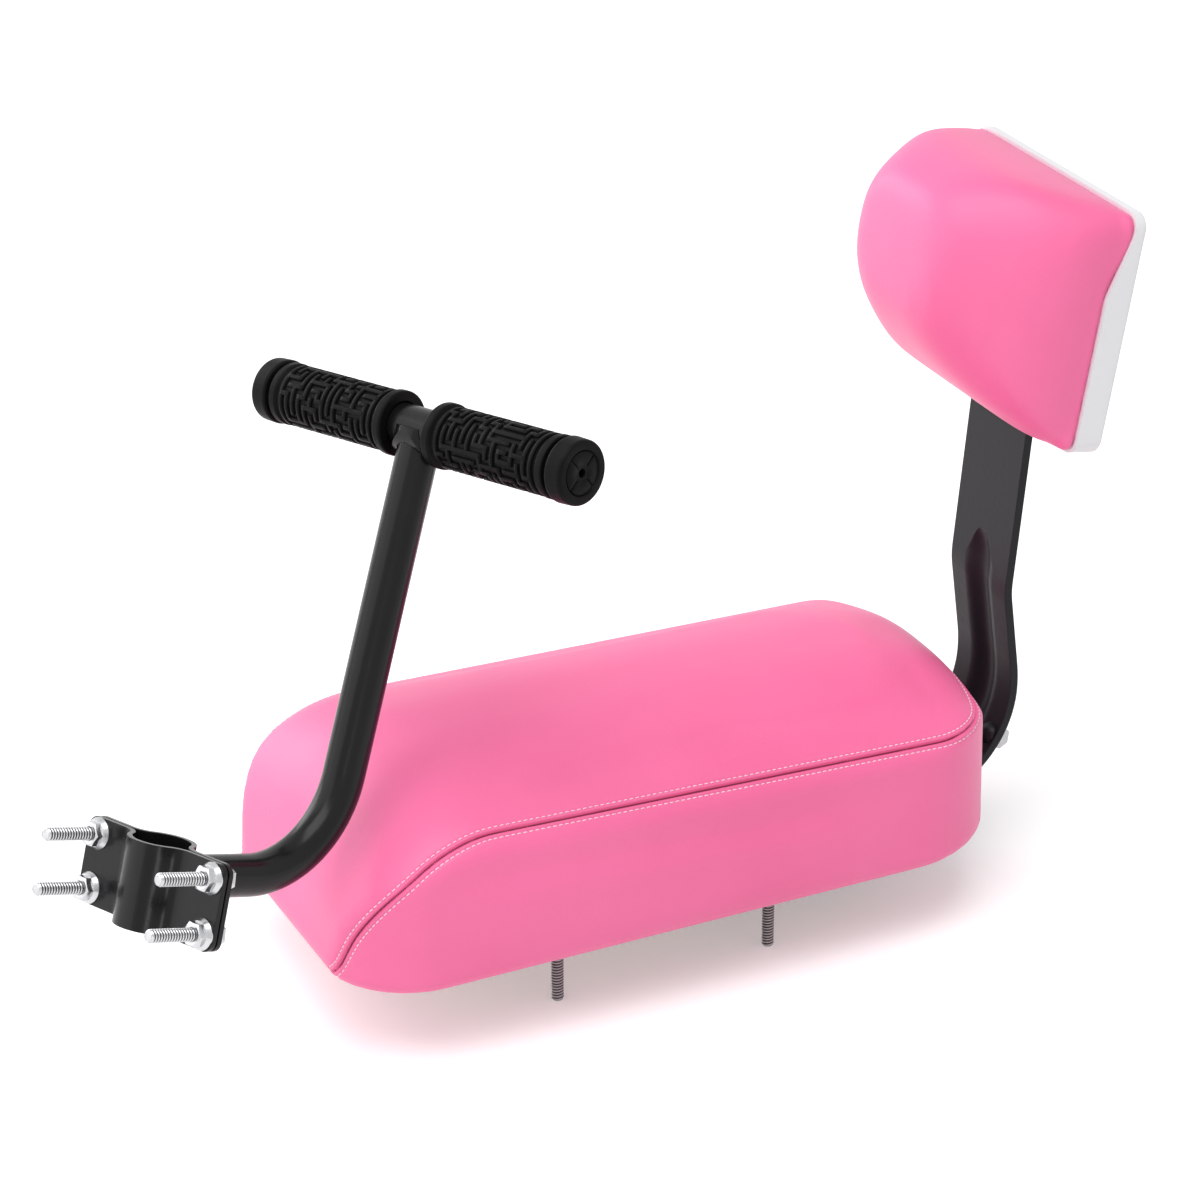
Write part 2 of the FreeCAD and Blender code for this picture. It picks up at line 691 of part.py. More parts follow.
def back_section(depth, width, height, radius):
    """Rounded rectangle across the backrest at a depth in front of the shell's rear face."""
    return tangent_wire(rounded_rect(width, height, radius), lambda a, b: Vec(a, -depth, b))


def back_prism(near, far, grow, radius):
    """Rounded block between two depths, larger than the shell's outline by grow on each side."""
    wire = back_section(near, SHELL_WIDTH + 2 * grow, SHELL_HEIGHT + 2 * grow, radius)
    return extruded(wire, Vec(0, near - far, 0))


def pad_body(inset):
    """Pad: a tucked back inside the shell's rim, then sections that roll over to a soft front."""
    seat = SHELL_WALL + SOFT_CLEARANCE + inset
    sections = [
        (seat, -seat - PAD_TUCK, SHELL_CORNER_R - seat, 0.0),
        (RIM_DEPTH, -seat, SHELL_CORNER_R, 0.0),
    ]
    front = PAD_DEPTH - PAD_ROLL_AT - inset
    for angle in PAD_ROLL_ANGLES:
        turn = math.radians(angle)
        grow = -seat - PAD_ROLL * (1 - math.cos(turn))
        widest_r = (SHELL_HEIGHT / 2 + grow) * PAD_ROUND_LIMIT
        radius = min(SHELL_CORNER_R + PAD_CORNER_GROWTH * math.sin(turn), widest_r)
        sections.append((PAD_ROLL_AT + front * math.sin(turn), grow, radius, PAD_LIFT * math.sin(turn)))
    wires = []
    for depth, grow, radius, lift in sections:
        wire = back_section(depth, SHELL_WIDTH + 2 * grow, SHELL_HEIGHT + 2 * grow, radius)
        wire.translate(Z_AXIS * lift)
        wires.append(wire)
    return Part.makeLoft(wires, True, False, False, 4)


def shell_scallop():
    """Space ahead of the shell's rim, whose edge is shallow at the top and sweeps down to full depth."""
    reach = SHELL_WIDTH
    half = SHELL_HEIGHT / 2
    fall = half - RIM_SCALLOP_H
    bend = RIM_SCALLOP_H / 2
    corners = [
        (-RIM_DEPTH, -reach, 0),
        (-RIM_DEPTH, fall, bend),
        (-RIM_TOP_DEPTH, half - bend / 2, bend),
        (-RIM_TOP_DEPTH, reach, 0),
        (-reach, reach, 0),
        (-reach, -reach, 0),
    ]
    return extruded(tangent_wire(corners, lambda a, b: Vec(-reach, a, b)), Vec(2 * reach, 0, 0))


def bar_channel(near, far, grow):
    """Space of the bar's top end between two depths, with a margin, down through the shell's lower edge."""
    half = BAR_WIDTH / 2 + grow
    top = BAR_TOP_CLIMB - SHELL_CENTRE_CLIMB + grow
    corners = [
        (-half, -SHELL_HEIGHT, 0),
        (half, -SHELL_HEIGHT, 0),
        (half, top, BAR_TOP_R + grow),
        (-half, top, BAR_TOP_R + grow),
    ]
    return extruded(tangent_wire(corners, lambda a, b: Vec(a, -near, b)), Vec(0, near - far, 0))


def make_backrest():
    """Shell, cover, foam, board and the bolts that clamp them to the bar."""
    place = back_frame()
    shell = back_prism(0.0, RIM_DEPTH, 0.0, SHELL_CORNER_R)
    rear_edges = [e for e in shell.Edges if all(abs(v.Point.y) < 1e-6 for v in e.Vertexes)]
    shell = shell.makeFillet(SHELL_EDGE_R, rear_edges)
    pocket = back_prism(SHELL_WALL, RIM_DEPTH + OVER, -SHELL_WALL, SHELL_CORNER_R - SHELL_WALL)
    bar_front = BAR_SETBACK + BAR_T
    slot = bar_channel(BAR_SETBACK - HOLE_CLEARANCE, RIM_DEPTH + OVER, HOLE_CLEARANCE)
    shell = shell.cut(pocket).cut(slot).cut(shell_scallop())

    outer = pad_body(0.0)
    inner = pad_body(COVER_T)
    edge = SHELL_WALL + SOFT_CLEARANCE + BACK_BOARD_MARGIN
    open_back = back_prism(-OVER, bar_front, -edge, BACK_BOARD_R)
    bar_room = bar_channel(-OVER, bar_front + SOFT_CLEARANCE, SOFT_CLEARANCE)
    cover = outer.cut(inner).cut(open_back).cut(bar_room)
    board_back = bar_front
    board_front = board_back + BACK_BOARD_T
    board = back_prism(board_back, board_front, -edge, BACK_BOARD_R)
    filling = pad_body(COVER_T + FOAM_CLEARANCE)
    foam_edge = SOFT_CLEARANCE - edge
    foam = filling.cut(back_prism(-OVER, board_front, foam_edge, BACK_BOARD_R + SOFT_CLEARANCE)).cut(bar_room)

    bolts = []
    washers = []
    tees = []
    for point in back_bolt_points():
        rear = point
        front = point - Y_AXIS * board_front
        washer = Part.makeCylinder(BACK_WASHER_D / 2, BACK_WASHER_T, rear, Y_AXIS)
        washers.append(washer.cut(hole(BACK_BOLT_D, rear, Y_AXIS, OVER)))
        seat = rear + Y_AXIS * BACK_WASHER_T
        shank = rod(BACK_BOLT_D / 2, seat, front)
        bolts.append(shank.fuse(hexagon(HEX_AF, BACK_HEAD_H, seat, Y_AXIS)).removeSplitter())
        tees.append(tee_nut(front, -Y_AXIS, BACK_BOLT_D))
        boss = rod(BOSS_D / 2, point - Y_AXIS * (SHELL_WALL / 2), point - Y_AXIS * BAR_SETBACK)
        shell = shell.fuse(boss).cut(hole(BACK_BOLT_D, point, Y_AXIS, BAR_SETBACK + OVER))
        board = board.cut(hole(TEE_BARREL_D, front, Y_AXIS, board_front + OVER))
        pocket = front - Y_AXIS * (TEE_FLANGE_T + SOFT_CLEARANCE)
        foam = foam.cut(rod(TEE_FLANGE_D / 2 + SOFT_CLEARANCE, point, pocket))
    pieces = {
        "backrest_shell": shell.removeSplitter(),
        "backrest_cover": cover,
        "backrest_foam": foam,
        "backrest_board": board.removeSplitter(),
        "backrest_bolts": Part.makeCompound(bolts),
        "backrest_washers": Part.makeCompound(washers),
        "backrest_tee_nuts": Part.makeCompound(tees),
    }
    for name, shape in pieces.items():
        shape.Placement = place.multiply(shape.Placement)
        save(name, shape)


# Grab handle


def handle_frame():
    """Placement of the handle as it stands beside the seat."""
    turn = FreeCAD.Rotation(Z_AXIS, HANDLE_YAW)
    roll = FreeCAD.Rotation(Y_AXIS, -HANDLE_ROLL)
    lean = FreeCAD.Rotation(X_AXIS, -HANDLE_LEAN)
    return FreeCAD.Placement(Vec(HANDLE_X, HANDLE_Y, HANDLE_Z), turn.multiply(roll).multiply(lean))


def stem_wire():
    """Middle line of the stem: straight back from the clamp, one bend, then up to the crossbar."""
    foot_y = CROSSBAR_Y - (CROSSBAR_Z - STEM_LOW_Z) * math.tan(math.radians(STEM_SLOPE))
    corners = [(0, STEM_LOW_Z, 0), (foot_y, STEM_LOW_Z, STEM_BEND_R), (CROSSBAR_Y, CROSSBAR_Z, 0)]
    return tangent_wire(corners, lambda a, b: Vec(0, a, b), closed=False)


def stem_rod(radius):
    """Round bar along the stem's middle line."""
    wire = stem_wire()
    first = wire.OrderedEdges[0]
    ring = Part.Wire(Part.makeCircle(radius, first.valueAt(first.FirstParameter), Y_AXIS))
    return wire.makePipe(Part.Face(ring))


def crossbar_rod(radius, length):
    """Round bar along the crossbar, centred on the stem."""
    return Part.makeCylinder(radius, length, Vec(-length / 2, CROSSBAR_Y, CROSSBAR_Z), X_AXIS)


def post_rod(radius):
    """Round bar along the seat post's axis through the clamp."""
    return Part.makeCylinder(radius, 2 * PLATE_HEIGHT, Vec(0, 0, -PLATE_HEIGHT), Z_AXIS)


def clamp_points():
    """Clamp bolt axes at the plane between the plates."""
    dx, dz = CLAMP_SPACING_X / 2, CLAMP_SPACING_Z / 2
    return [Vec(sx * dx, 0, sz * dz) for sx in (-1, 1) for sz in (-1, 1)]


def channel_round(line_y, radius, blend):
    """Blend between a wing's face and a round one: its start on the line, its middle and its end."""
    centre = Vec(math.sqrt((radius + blend) ** 2 - (line_y + blend) ** 2), line_y + blend, 0)
    on_line = Vec(centre.x, line_y, 0)
    on_round = centre * (radius / (radius + blend))
    outward = (on_line - centre) + (on_round - centre)
    outward.normalize()
    return on_line, centre + outward * blend, on_round


def clamp_plate(side):
    """Pressed plate with flat wings and a half-round channel; side is -1 for the front and 1 for the rear."""
    inner = POST_D / 2
    outer = inner + PLATE_T
    gap = PLATE_GAP / 2
    half = PLATE_WIDTH / 2

    def place(point, mirrored):
        return Vec(-point.x if mirrored else point.x, side * point.y, -PLATE_HEIGHT / 2)

    edges = []
    faces = ((gap, inner, CHANNEL_BLEND_R + PLATE_T), (gap + PLATE_T, outer, CHANNEL_BLEND_R))
    for line_y, radius, blend in faces:
        on_line, middle, on_round = channel_round(line_y, radius, blend)
        for mirrored in (False, True):
            tip = place(Vec(half, line_y, 0), mirrored)
            start, mid, end = (place(p, mirrored) for p in (on_line, middle, on_round))
            edges.append(Part.LineSegment(tip, start).toShape())
            edges.append(Part.Arc(start, mid, end).toShape())
        crest = place(Vec(0, radius, 0), False)
        edges.append(Part.Arc(place(on_round, False), crest, place(on_round, True)).toShape())
    for mirrored in (False, True):
        ends = [place(Vec(half, y, 0), mirrored) for y in (gap, gap + PLATE_T)]
        edges.append(Part.LineSegment(*ends).toShape())
    section = Part.Wire(Part.__sortEdges__(edges))
    plate = extruded(section, Vec(0, 0, PLATE_HEIGHT))
    outline = tangent_wire(
        rounded_rect(PLATE_WIDTH, PLATE_HEIGHT, PLATE_CORNER_R), lambda a, b: Vec(a, -PLATE_WIDTH, b)
    )
    plate = plate.common(extruded(outline, Vec(0, 2 * PLATE_WIDTH, 0)))
    for point in clamp_points():
        plate = plate.cut(hole(CLAMP_BOLT_D, point, Y_AXIS, PLATE_WIDTH / 2))
    return plate


def flange_nut(start, axis):
    """Hexagon nut with a round flange at start."""
    radius = HEX_AF / math.sqrt(3)
    skirt = [
        (0, 0),
        (NUT_FLANGE_D / 2, 0),
        (NUT_FLANGE_D / 2, NUT_FLANGE_T / 2),
        (radius, NUT_FLANGE_T * 2),
        (0, NUT_FLANGE_T * 2),
    ]
    flange = turned(skirt, start, axis)
    crown = turned(
        [(0, 0), (radius + 1, 0), (radius + 1, NUT_H - 1), (HEX_AF / 2 * 0.9, NUT_H), (0, NUT_H)], start, axis
    )
    body = hexagon(HEX_AF, NUT_H, start, axis).common(crown)
    bore_r = CLAMP_BOLT_D / 2 + THREAD_CLEARANCE
    bore = rod(bore_r, along(start, axis, -OVER), along(start, axis, NUT_H + OVER))
    return flange.fuse(body).cut(bore).removeSplitter()


def make_grip(side):
    """Rubber grip turned about the crossbar: inner flange, body, collar, groove and end knob with a vent."""
    bore = TUBE_D / 2 + HOLE_CLEARANCE
    flange, body, collar = GRIP_FLANGE_D / 2, GRIP_BODY_D / 2, GRIP_COLLAR_D / 2
    groove, knob, soft = GRIP_GROOVE_D / 2, GRIP_KNOB_D / 2, GRIP_EDGE_R
    knob_at = GRIP_LENGTH - GRIP_KNOB_W
    groove_at = knob_at - GRIP_GROOVE_W
    collar_at = groove_at - GRIP_COLLAR_W
    end = GRIP_LENGTH - GRIP_END_WALL
    corners = [
        (0, bore, 0),
        (0, flange, soft),
        (GRIP_FLANGE_W, flange, soft),
        (GRIP_FLANGE_W + soft, body, 0),
        (collar_at - soft, body, 0),
        (collar_at, collar, soft / 2),
        (groove_at, collar, soft / 2),
        (groove_at, groove, 0),
        (knob_at, groove, 0),
        (knob_at, knob, soft),
        (GRIP_LENGTH, knob - soft, soft * 1.5),
        (GRIP_LENGTH, GRIP_VENT_D / 2, 0),
        (end, GRIP_VENT_D / 2, 0),
        (end, bore, 0),
    ]
    start = CROSSBAR_LENGTH / 2 + GRIP_END_WALL + HOLE_CLEARANCE - GRIP_LENGTH
    wire = tangent_wire(corners, lambda a, b: Vec(side * (start + a), CROSSBAR_Y, CROSSBAR_Z + b))
    return Part.Face(wire).revolve(Vec(0, CROSSBAR_Y, CROSSBAR_Z), X_AXIS, 360)


def make_handle():
    """Stem, crossbar, welds, grips, clamp plates, bolts and nuts."""
    place = handle_frame()
    tube_r = TUBE_D / 2
    bore_r = tube_r - TUBE_WALL
    channel_r = POST_D / 2 + PLATE_T
    weld_r = tube_r + WELD_LEG
    stem_solid = stem_rod(tube_r)
    crossbar_solid = crossbar_rod(tube_r, CROSSBAR_LENGTH)
    coped = stem_solid.cut(crossbar_solid).cut(post_rod(channel_r))
    stem = coped.cut(stem_rod(bore_r))
    crossbar = crossbar_solid.cut(crossbar_rod(bore_r, CROSSBAR_LENGTH + OVER))
    stem_collar = stem_rod(weld_r)
    top_weld = stem_collar.common(crossbar_rod(weld_r, 4 * weld_r)).cut(crossbar_solid).cut(stem_solid)
    low_weld = stem_collar.common(post_rod(channel_r + WELD_LEG)).cut(post_rod(channel_r)).cut(stem_solid)
    rear_side = box((-PLATE_WIDTH, channel_r / 2, -PLATE_HEIGHT), (PLATE_WIDTH, PLATE_WIDTH, PLATE_HEIGHT))
    low_weld = low_weld.common(rear_side)
    outer_face = PLATE_GAP / 2 + PLATE_T
    bolts = []
    nuts = []
    for point in clamp_points():
        back = point + Y_AXIS * outer_face
        length = 2 * outer_face + NUT_H + CLAMP_TAIL
        shank = chamfered_rod(CLAMP_BOLT_D / 2, length, TIP_CHAMFER, back, -Y_AXIS)
        bolts.append(shank.fuse(hexagon(HEX_AF, CLAMP_HEAD_H, back, Y_AXIS)).removeSplitter())
        nuts.append(flange_nut(point - Y_AXIS * outer_face, -Y_AXIS))
    pieces = {
        "handle_stem": stem,
        "handle_crossbar": crossbar,
        "crossbar_weld": top_weld,
        "stem_weld": low_weld,
        "left_grip": make_grip(1),
        "right_grip": make_grip(-1),
        "front_clamp_plate": clamp_plate(-1),
        "rear_clamp_plate": clamp_plate(1),
        "clamp_bolts": Part.makeCompound(bolts),
        "clamp_nuts": Part.makeCompound(nuts),
    }
    for name, shape in pieces.items():
        shape.Placement = place.multiply(shape.Placement)
        save(name, shape)


os.makedirs("parts", exist_ok=True)
make_seat()
make_bar()
make_backrest()
make_handle()
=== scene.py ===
"""Rear rack cushion seat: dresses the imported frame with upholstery, grips, threads, finishes and light."""

import logging
import math
import random
from dataclasses import dataclass, field
from enum import Enum
from typing import Any, Callable, Iterable, Sequence

import bmesh
import bpy
from mathutils import Matrix, Vector
from mathutils.bvhtree import BVHTree
from mathutils.kdtree import KDTree


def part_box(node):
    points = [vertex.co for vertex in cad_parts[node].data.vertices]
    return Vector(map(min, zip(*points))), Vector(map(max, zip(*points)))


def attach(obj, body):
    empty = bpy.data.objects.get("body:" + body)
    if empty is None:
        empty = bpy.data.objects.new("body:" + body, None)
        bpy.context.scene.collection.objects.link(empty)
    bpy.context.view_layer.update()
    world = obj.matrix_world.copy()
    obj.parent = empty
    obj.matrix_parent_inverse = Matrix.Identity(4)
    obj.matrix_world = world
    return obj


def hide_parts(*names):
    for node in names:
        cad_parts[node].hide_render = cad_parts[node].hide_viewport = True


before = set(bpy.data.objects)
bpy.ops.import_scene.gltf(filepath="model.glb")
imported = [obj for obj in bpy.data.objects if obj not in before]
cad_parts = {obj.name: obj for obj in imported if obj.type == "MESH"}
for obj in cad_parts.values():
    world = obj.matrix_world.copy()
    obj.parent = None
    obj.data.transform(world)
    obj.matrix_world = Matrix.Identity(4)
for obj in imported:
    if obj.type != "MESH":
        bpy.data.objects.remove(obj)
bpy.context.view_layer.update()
LOG = logging.getLogger("cushion_seat")
MM = 0.001
BODY = "root"

Colour = tuple[float, float, float]
Point2 = tuple[float, float]
Point3 = tuple[float, float, float]
Faces = list[tuple[int, ...]]
GripSpot = Callable[[float, float, float], Vector]


class Slot(Enum):
    """Material slots of the record, passed along with each new piece."""

    LEATHERETTE = "leatherette"
    ZINC = "zinc"
    RUBBER = "black_rubber"


class Side(Enum):
    """Which end of the crossbar a grip sits on."""

    LEFT = 1
    RIGHT = -1


# Shader expressions


class Value:
    """One shader value; arithmetic on it adds Math nodes to its graph."""

    def __init__(self, graph: "Graph", socket: bpy.types.NodeSocket) -> None:
        """Keeps the socket and the graph that it belongs to."""
        self.graph = graph
        self.socket = socket

    def _math(self, operation: str, first: Any, second: Any) -> "Value":
        """Adds a Math node.

        Args:
            operation: Blender's name of the operation.
            first: left operand, a Value or a number.
            second: right operand, a Value or a number.

        Returns:
            The node's result.
        """
        return self.graph.node("ShaderNodeMath", {"operation": operation}, {0: first, 1: second})

    def __add__(self, other: Any) -> "Value":
        """Sum."""
        return self._math("ADD", self, other)

    def __radd__(self, other: Any) -> "Value":
        """Sum with a number on the left."""
        return self._math("ADD", other, self)

    def __sub__(self, other: Any) -> "Value":
        """Difference."""
        return self._math("SUBTRACT", self, other)

    def __rsub__(self, other: Any) -> "Value":
        """Difference with a number on the left."""
        return self._math("SUBTRACT", other, self)

    def __mul__(self, other: Any) -> "Value":
        """Product."""
        return self._math("MULTIPLY", self, other)

    def __rmul__(self, other: Any) -> "Value":
        """Product with a number on the left."""
        return self._math("MULTIPLY", other, self)


class Graph:
    """A material's or world's node tree, emptied and ready to be written as expressions."""

    def __init__(self, owner: bpy.types.ID) -> None:
        """Turns nodes on for the owner and clears them.

        Args:
            owner: the material or world.
        """
        owner.use_nodes = True
        self.tree = owner.node_tree
        self.tree.nodes.clear()

    def node(self, kind: str, settings: dict[str, Any], sockets: dict[Any, Any], out: Any = 0) -> Value:
        """Adds one node.

        Args:
            kind: Blender's type name of the node.
            settings: properties, which are set first.
            sockets: input by name or number, each a Value to link or a constant.
            out: output by name or number.

        Returns:
            The chosen output.
        """
        made = self.tree.nodes.new(kind)
        for key, value in settings.items():
            setattr(made, key, value)
        for key, value in sockets.items():
            if isinstance(value, Value):
                self.tree.links.new(value.socket, made.inputs[key])
            else:
                made.inputs[key].default_value = value
        return Value(self, made.outputs[out])

    def place(self) -> Value:
        """Position on the piece, in metres."""
        return self.node("ShaderNodeTexCoord", {}, {}, "Object")

    def stretched(self, scale: Sequence[float]) -> Value:
        """Position scaled by a factor along each axis.

        Args:
            scale: factor along X, Y and Z.

        Returns:
            The scaled position.
        """
        sockets = {0: self.place(), 1: tuple(scale)}
        return self.node("ShaderNodeVectorMath", {"operation": "MULTIPLY"}, sockets)

    def noise(self, per_metre: float, detail: float = 3.0, where: Value | None = None) -> Value:
        """Soft noise from 0 to 1.

        Args:
            per_metre: number of patches in a metre.
            detail: octaves of finer noise.
            where: position to use in place of the plain one.

        Returns:
            The noise value.
        """
        sockets = {"Vector": where or self.place(), "Scale": per_metre, "Detail": detail}
        return self.node("ShaderNodeTexNoise", {}, sockets, "Fac")

    def pebbles(self, per_metre: float) -> Value:
        """Rounded cells, high in the middle and low along their borders.

        Args:
            per_metre: number of cells in a metre.

        Returns:
            The height of the cells.
        """
        settings = {"feature": "SMOOTH_F1"}
        sockets = {"Vector": self.place(), "Scale": per_metre, "Smoothness": 0.35, "Randomness": 0.95}
        return 1.0 - self.node("ShaderNodeTexVoronoi", settings, sockets, "Distance")

    def blend(self, factor: Any, low: Any, high: Any) -> Value:
        """Mixes two colours.

        Args:
            factor: share of the second colour, a Value or a number.
            low: first colour, RGB or a Value.
            high: second colour, RGB or a Value.

        Returns:
            The mixed colour.
        """
        a, b = (c if isinstance(c, Value) else (*c, 1.0) for c in (low, high))
        settings = {"data_type": "RGBA", "clamp_factor": True}
        return self.node("ShaderNodeMix", settings, {0: factor, 6: a, 7: b}, 2)

    def stepped(self, value: Value, low: float, high: float) -> Value:
        """Maps a value so that low becomes 0 and high becomes 1, held in between."""
        settings = {"clamp": True, "interpolation_type": "SMOOTHSTEP"}
        return self.node("ShaderNodeMapRange", settings, {"Value": value, "From Min": low, "From Max": high})

    def bump(self, height: Value, depth: float, strength: float = 1.0, normal: Value | None = None) -> Value:
        """Turns a height from 0 to 1 into a normal.

        Args:
            height: height value.
            depth: real height of 1, in metres.
            strength: share of the effect.
            normal: normal to build on.

        Returns:
            The bumped normal.
        """
        sockets = {"Height": height, "Distance": depth, "Strength": strength}
        if normal is not None:
            sockets["Normal"] = normal
        return self.node("ShaderNodeBump", {}, sockets)

    def soft_edges(self, radius: float) -> Value:
        """Normal that rounds a part's sharp edges."""
        return self.node("ShaderNodeBevel", {"samples": 4}, {"Radius": radius})

    def attribute(self, name: str) -> Value:
        """A number stored on the mesh's points."""
        return self.node("ShaderNodeAttribute", {"attribute_name": name}, {}, "Fac")

    def surface(self, **sockets: Any) -> None:
        """Adds the Principled shader and the output.

        Args:
            sockets: inputs, with spaces in their names written as underscores.
        """
        named = {key.replace("_", " "): value for key, value in sockets.items()}
        self.output(self.node("ShaderNodeBsdfPrincipled", {}, named))

    def output(self, shader: Value, kind: str = "ShaderNodeOutputMaterial") -> None:
        """Adds the tree's output node and links a shader to it."""
        made = self.tree.nodes.new(kind)
        self.tree.links.new(shader.socket, made.inputs["Surface"])


# Finishes


@dataclass(frozen=True)
class Finish:
    """A named surface finish; each kind writes its own nodes."""

    name: str

    def write(self, g: Graph) -> None:
        """Writes the finish's nodes into a graph."""
        raise NotImplementedError

    def material(self) -> bpy.types.Material:
        """Makes the material.

        Returns:
            The new material.
        """
        made = bpy.data.materials.new(self.name)
        self.write(Graph(made))
        return made


@dataclass(frozen=True)
class Leatherette(Finish):
    """Coated fabric with a fine pebble grain, a soft sheen and painted shade in the seam valleys."""

    colour: Colour = (0.88, 0.16, 0.36)
    deep: Colour = (0.83, 0.138, 0.322)
    # colour of the painted shade in the seam's valley
    valley: Colour = (0.18, 0.007, 0.042)
    grain_per_metre: float = 760.0
    grain_depth: float = 0.00016
    tone_per_metre: float = 9.0

    def write(self, g: Graph) -> None:
        """Pebble grain, broad tone changes and a painted shade line where the seam dips.

        Args:
            g: graph to write into.
        """
        seam = g.attribute("seam")
        tone = g.stepped(g.noise(self.tone_per_metre, 4.0), 0.3, 0.72)
        pebble = g.pebbles(self.grain_per_metre)
        fine = g.noise(self.grain_per_metre * 2.6, 2.0)
        creases = g.noise(self.grain_per_metre * 0.22, 3.0)
        body = g.blend(tone, self.deep, self.colour)
        body = g.blend(g.stepped(pebble, 0.72, 0.3) * 0.1, body, self.deep)
        # painted shade: darkens the cover towards the valley colour where the seam dips
        body = g.blend(g.stepped(seam, 0.25, 0.75), body, self.valley)
        grain = g.bump(pebble * 0.6 + fine * 0.25 + creases * 0.5, self.grain_depth, 0.55)
        g.surface(
            Base_Color=body,
            Roughness=0.4 + fine * 0.1 + seam * 0.2,
            Normal=grain,
            Specular_IOR_Level=0.45,
            Sheen_Weight=0.06,
            Sheen_Roughness=0.4,
        )


@dataclass(frozen=True)
class Thread(Finish):
    """Twisted polyester sewing thread."""

    colour: Colour = (0.95, 0.76, 0.84)
    shaded: Colour = (0.85, 0.52, 0.64)
    twist_per_metre: float = 2400.0
    twist_depth: float = 0.0001

    def write(self, g: Graph) -> None:
        """Pale thread with a fine twist.

        Args:
            g: graph to write into.
        """
        twist = g.noise(self.twist_per_metre, 2.0)
        g.surface(
            Base_Color=g.blend(twist, self.shaded, self.colour),
            Roughness=0.55 + twist * 0.2,
            Normal=g.bump(twist, self.twist_depth),
            Sheen_Weight=0.2,
        )


@dataclass(frozen=True)
class Paint(Finish):
    """Sprayed paint on steel: an orange-peel skin, faint dust and rounded edges."""

    colour: Colour = (0.004, 0.004, 0.0043)
    roughness: float = 0.2
    coat: float = 0.03
    gleam: float = 0.2
    peel: float = 0.00004
    edge: float = 0.0006
    mottle_per_metre: float = 35.0
    dust_per_metre: float = 420.0
    peel_per_metre: float = 330.0

    def write(self, g: Graph) -> None:
        """Colour with slight mottling, uneven gloss and orange peel.

        Args:
            g: graph to write into.
        """
        mottle = g.noise(self.mottle_per_metre, 4.0)
        dust = g.stepped(g.noise(self.dust_per_metre, 3.0), 0.62, 0.8)
        pale = tuple(c * 1.4 + 0.003 for c in self.colour)
        body = g.blend(mottle * 0.35 + dust * 0.15, self.colour, pale)
        skin = g.bump(g.noise(self.peel_per_metre, 2.0), self.peel, 1.0, g.soft_edges(self.edge))
        g.surface(
            Base_Color=body,
            Roughness=self.roughness + mottle * 0.08 + dust * 0.1,
            Normal=skin,
            Coat_Weight=self.coat,
            Specular_IOR_Level=self.gleam,
            Coat_Roughness=0.1,
        )


@dataclass(frozen=True)
class Zinc(Finish):
    """Bright zinc plate on steel fasteners."""

    colour: Colour = (0.6, 0.605, 0.62)
    shade: float = 0.78
    metal: float = 1.0
    # colour of the painted shade in the thread's roots
    thread_root_shade: Colour = (0.03, 0.03, 0.031)
    cloud_per_metre: float = 260.0
    marks_per_metre: float = 2200.0
    marks_depth: float = 0.000006
    edge: float = 0.0002

    def write(self, g: Graph) -> None:
        """Metal with cloudy plating, fine handling marks, soft edges and painted shade in the thread roots.

        Args:
            g: graph to write into.
        """
        cloud = g.noise(self.cloud_per_metre, 4.0)
        marks = g.noise(self.marks_per_metre, 2.0)
        root = g.attribute("root")
        body = g.blend(cloud, tuple(c * self.shade for c in self.colour), self.colour)
        # painted shade: darkens the metal in the thread's roots
        body = g.blend(g.stepped(root, 0.15, 0.75), body, self.thread_root_shade)
        g.surface(
            Base_Color=body,
            Metallic=self.metal,
            Roughness=0.2 + cloud * 0.1,
            Normal=g.bump(marks, self.marks_depth, 0.5, g.soft_edges(self.edge)),
        )


@dataclass(frozen=True)
class MouldedPlastic(Finish):
    """White moulded plastic with a faint spark texture."""

    colour: Colour = (0.78, 0.775, 0.8)
    tone_per_metre: float = 14.0
    spark_per_metre: float = 1500.0
    spark_depth: float = 0.00003
    edge: float = 0.0011

    def write(self, g: Graph) -> None:
        """Pale plastic, slightly uneven in tone and gloss.

        Args:
            g: graph to write into.
        """
        tone = g.noise(self.tone_per_metre, 3.0)
        spark = g.noise(self.spark_per_metre, 2.0)
        body = g.blend(tone, tuple(c * 0.95 for c in self.colour), self.colour)
        g.surface(
            Base_Color=body,
            Roughness=0.36 + spark * 0.12,
            Normal=g.bump(spark, self.spark_depth, 0.7, g.soft_edges(self.edge)),
            Subsurface_Weight=0.05,
            Subsurface_Radius=(0.004, 0.004, 0.004),
        )


@dataclass(frozen=True)
class GripRubber(Finish):
    """Black moulded rubber, dull in the hollows and slightly worn on top."""

    colour: Colour = (0.003, 0.003, 0.0033)
    worn: Colour = (0.009, 0.009, 0.0095)
    rubbed_per_metre: float = 60.0
    grain_per_metre: float = 2600.0
    grain_depth: float = 0.00004

    def write(self, g: Graph) -> None:
        """Fine matt grain with paler rubbed patches.

        Args:
            g: graph to write into.
        """
        rubbed = g.stepped(g.noise(self.rubbed_per_metre, 4.0), 0.42, 0.75)
        grain = g.noise(self.grain_per_metre, 3.0)
        body = g.blend(rubbed * 0.6 + grain * 0.2, self.colour, self.worn)
        g.surface(
            Base_Color=body,
            Roughness=0.4 + grain * 0.14 - rubbed * 0.06,
            Normal=g.bump(grain, self.grain_depth, 0.6),
            Specular_IOR_Level=0.07,
        )


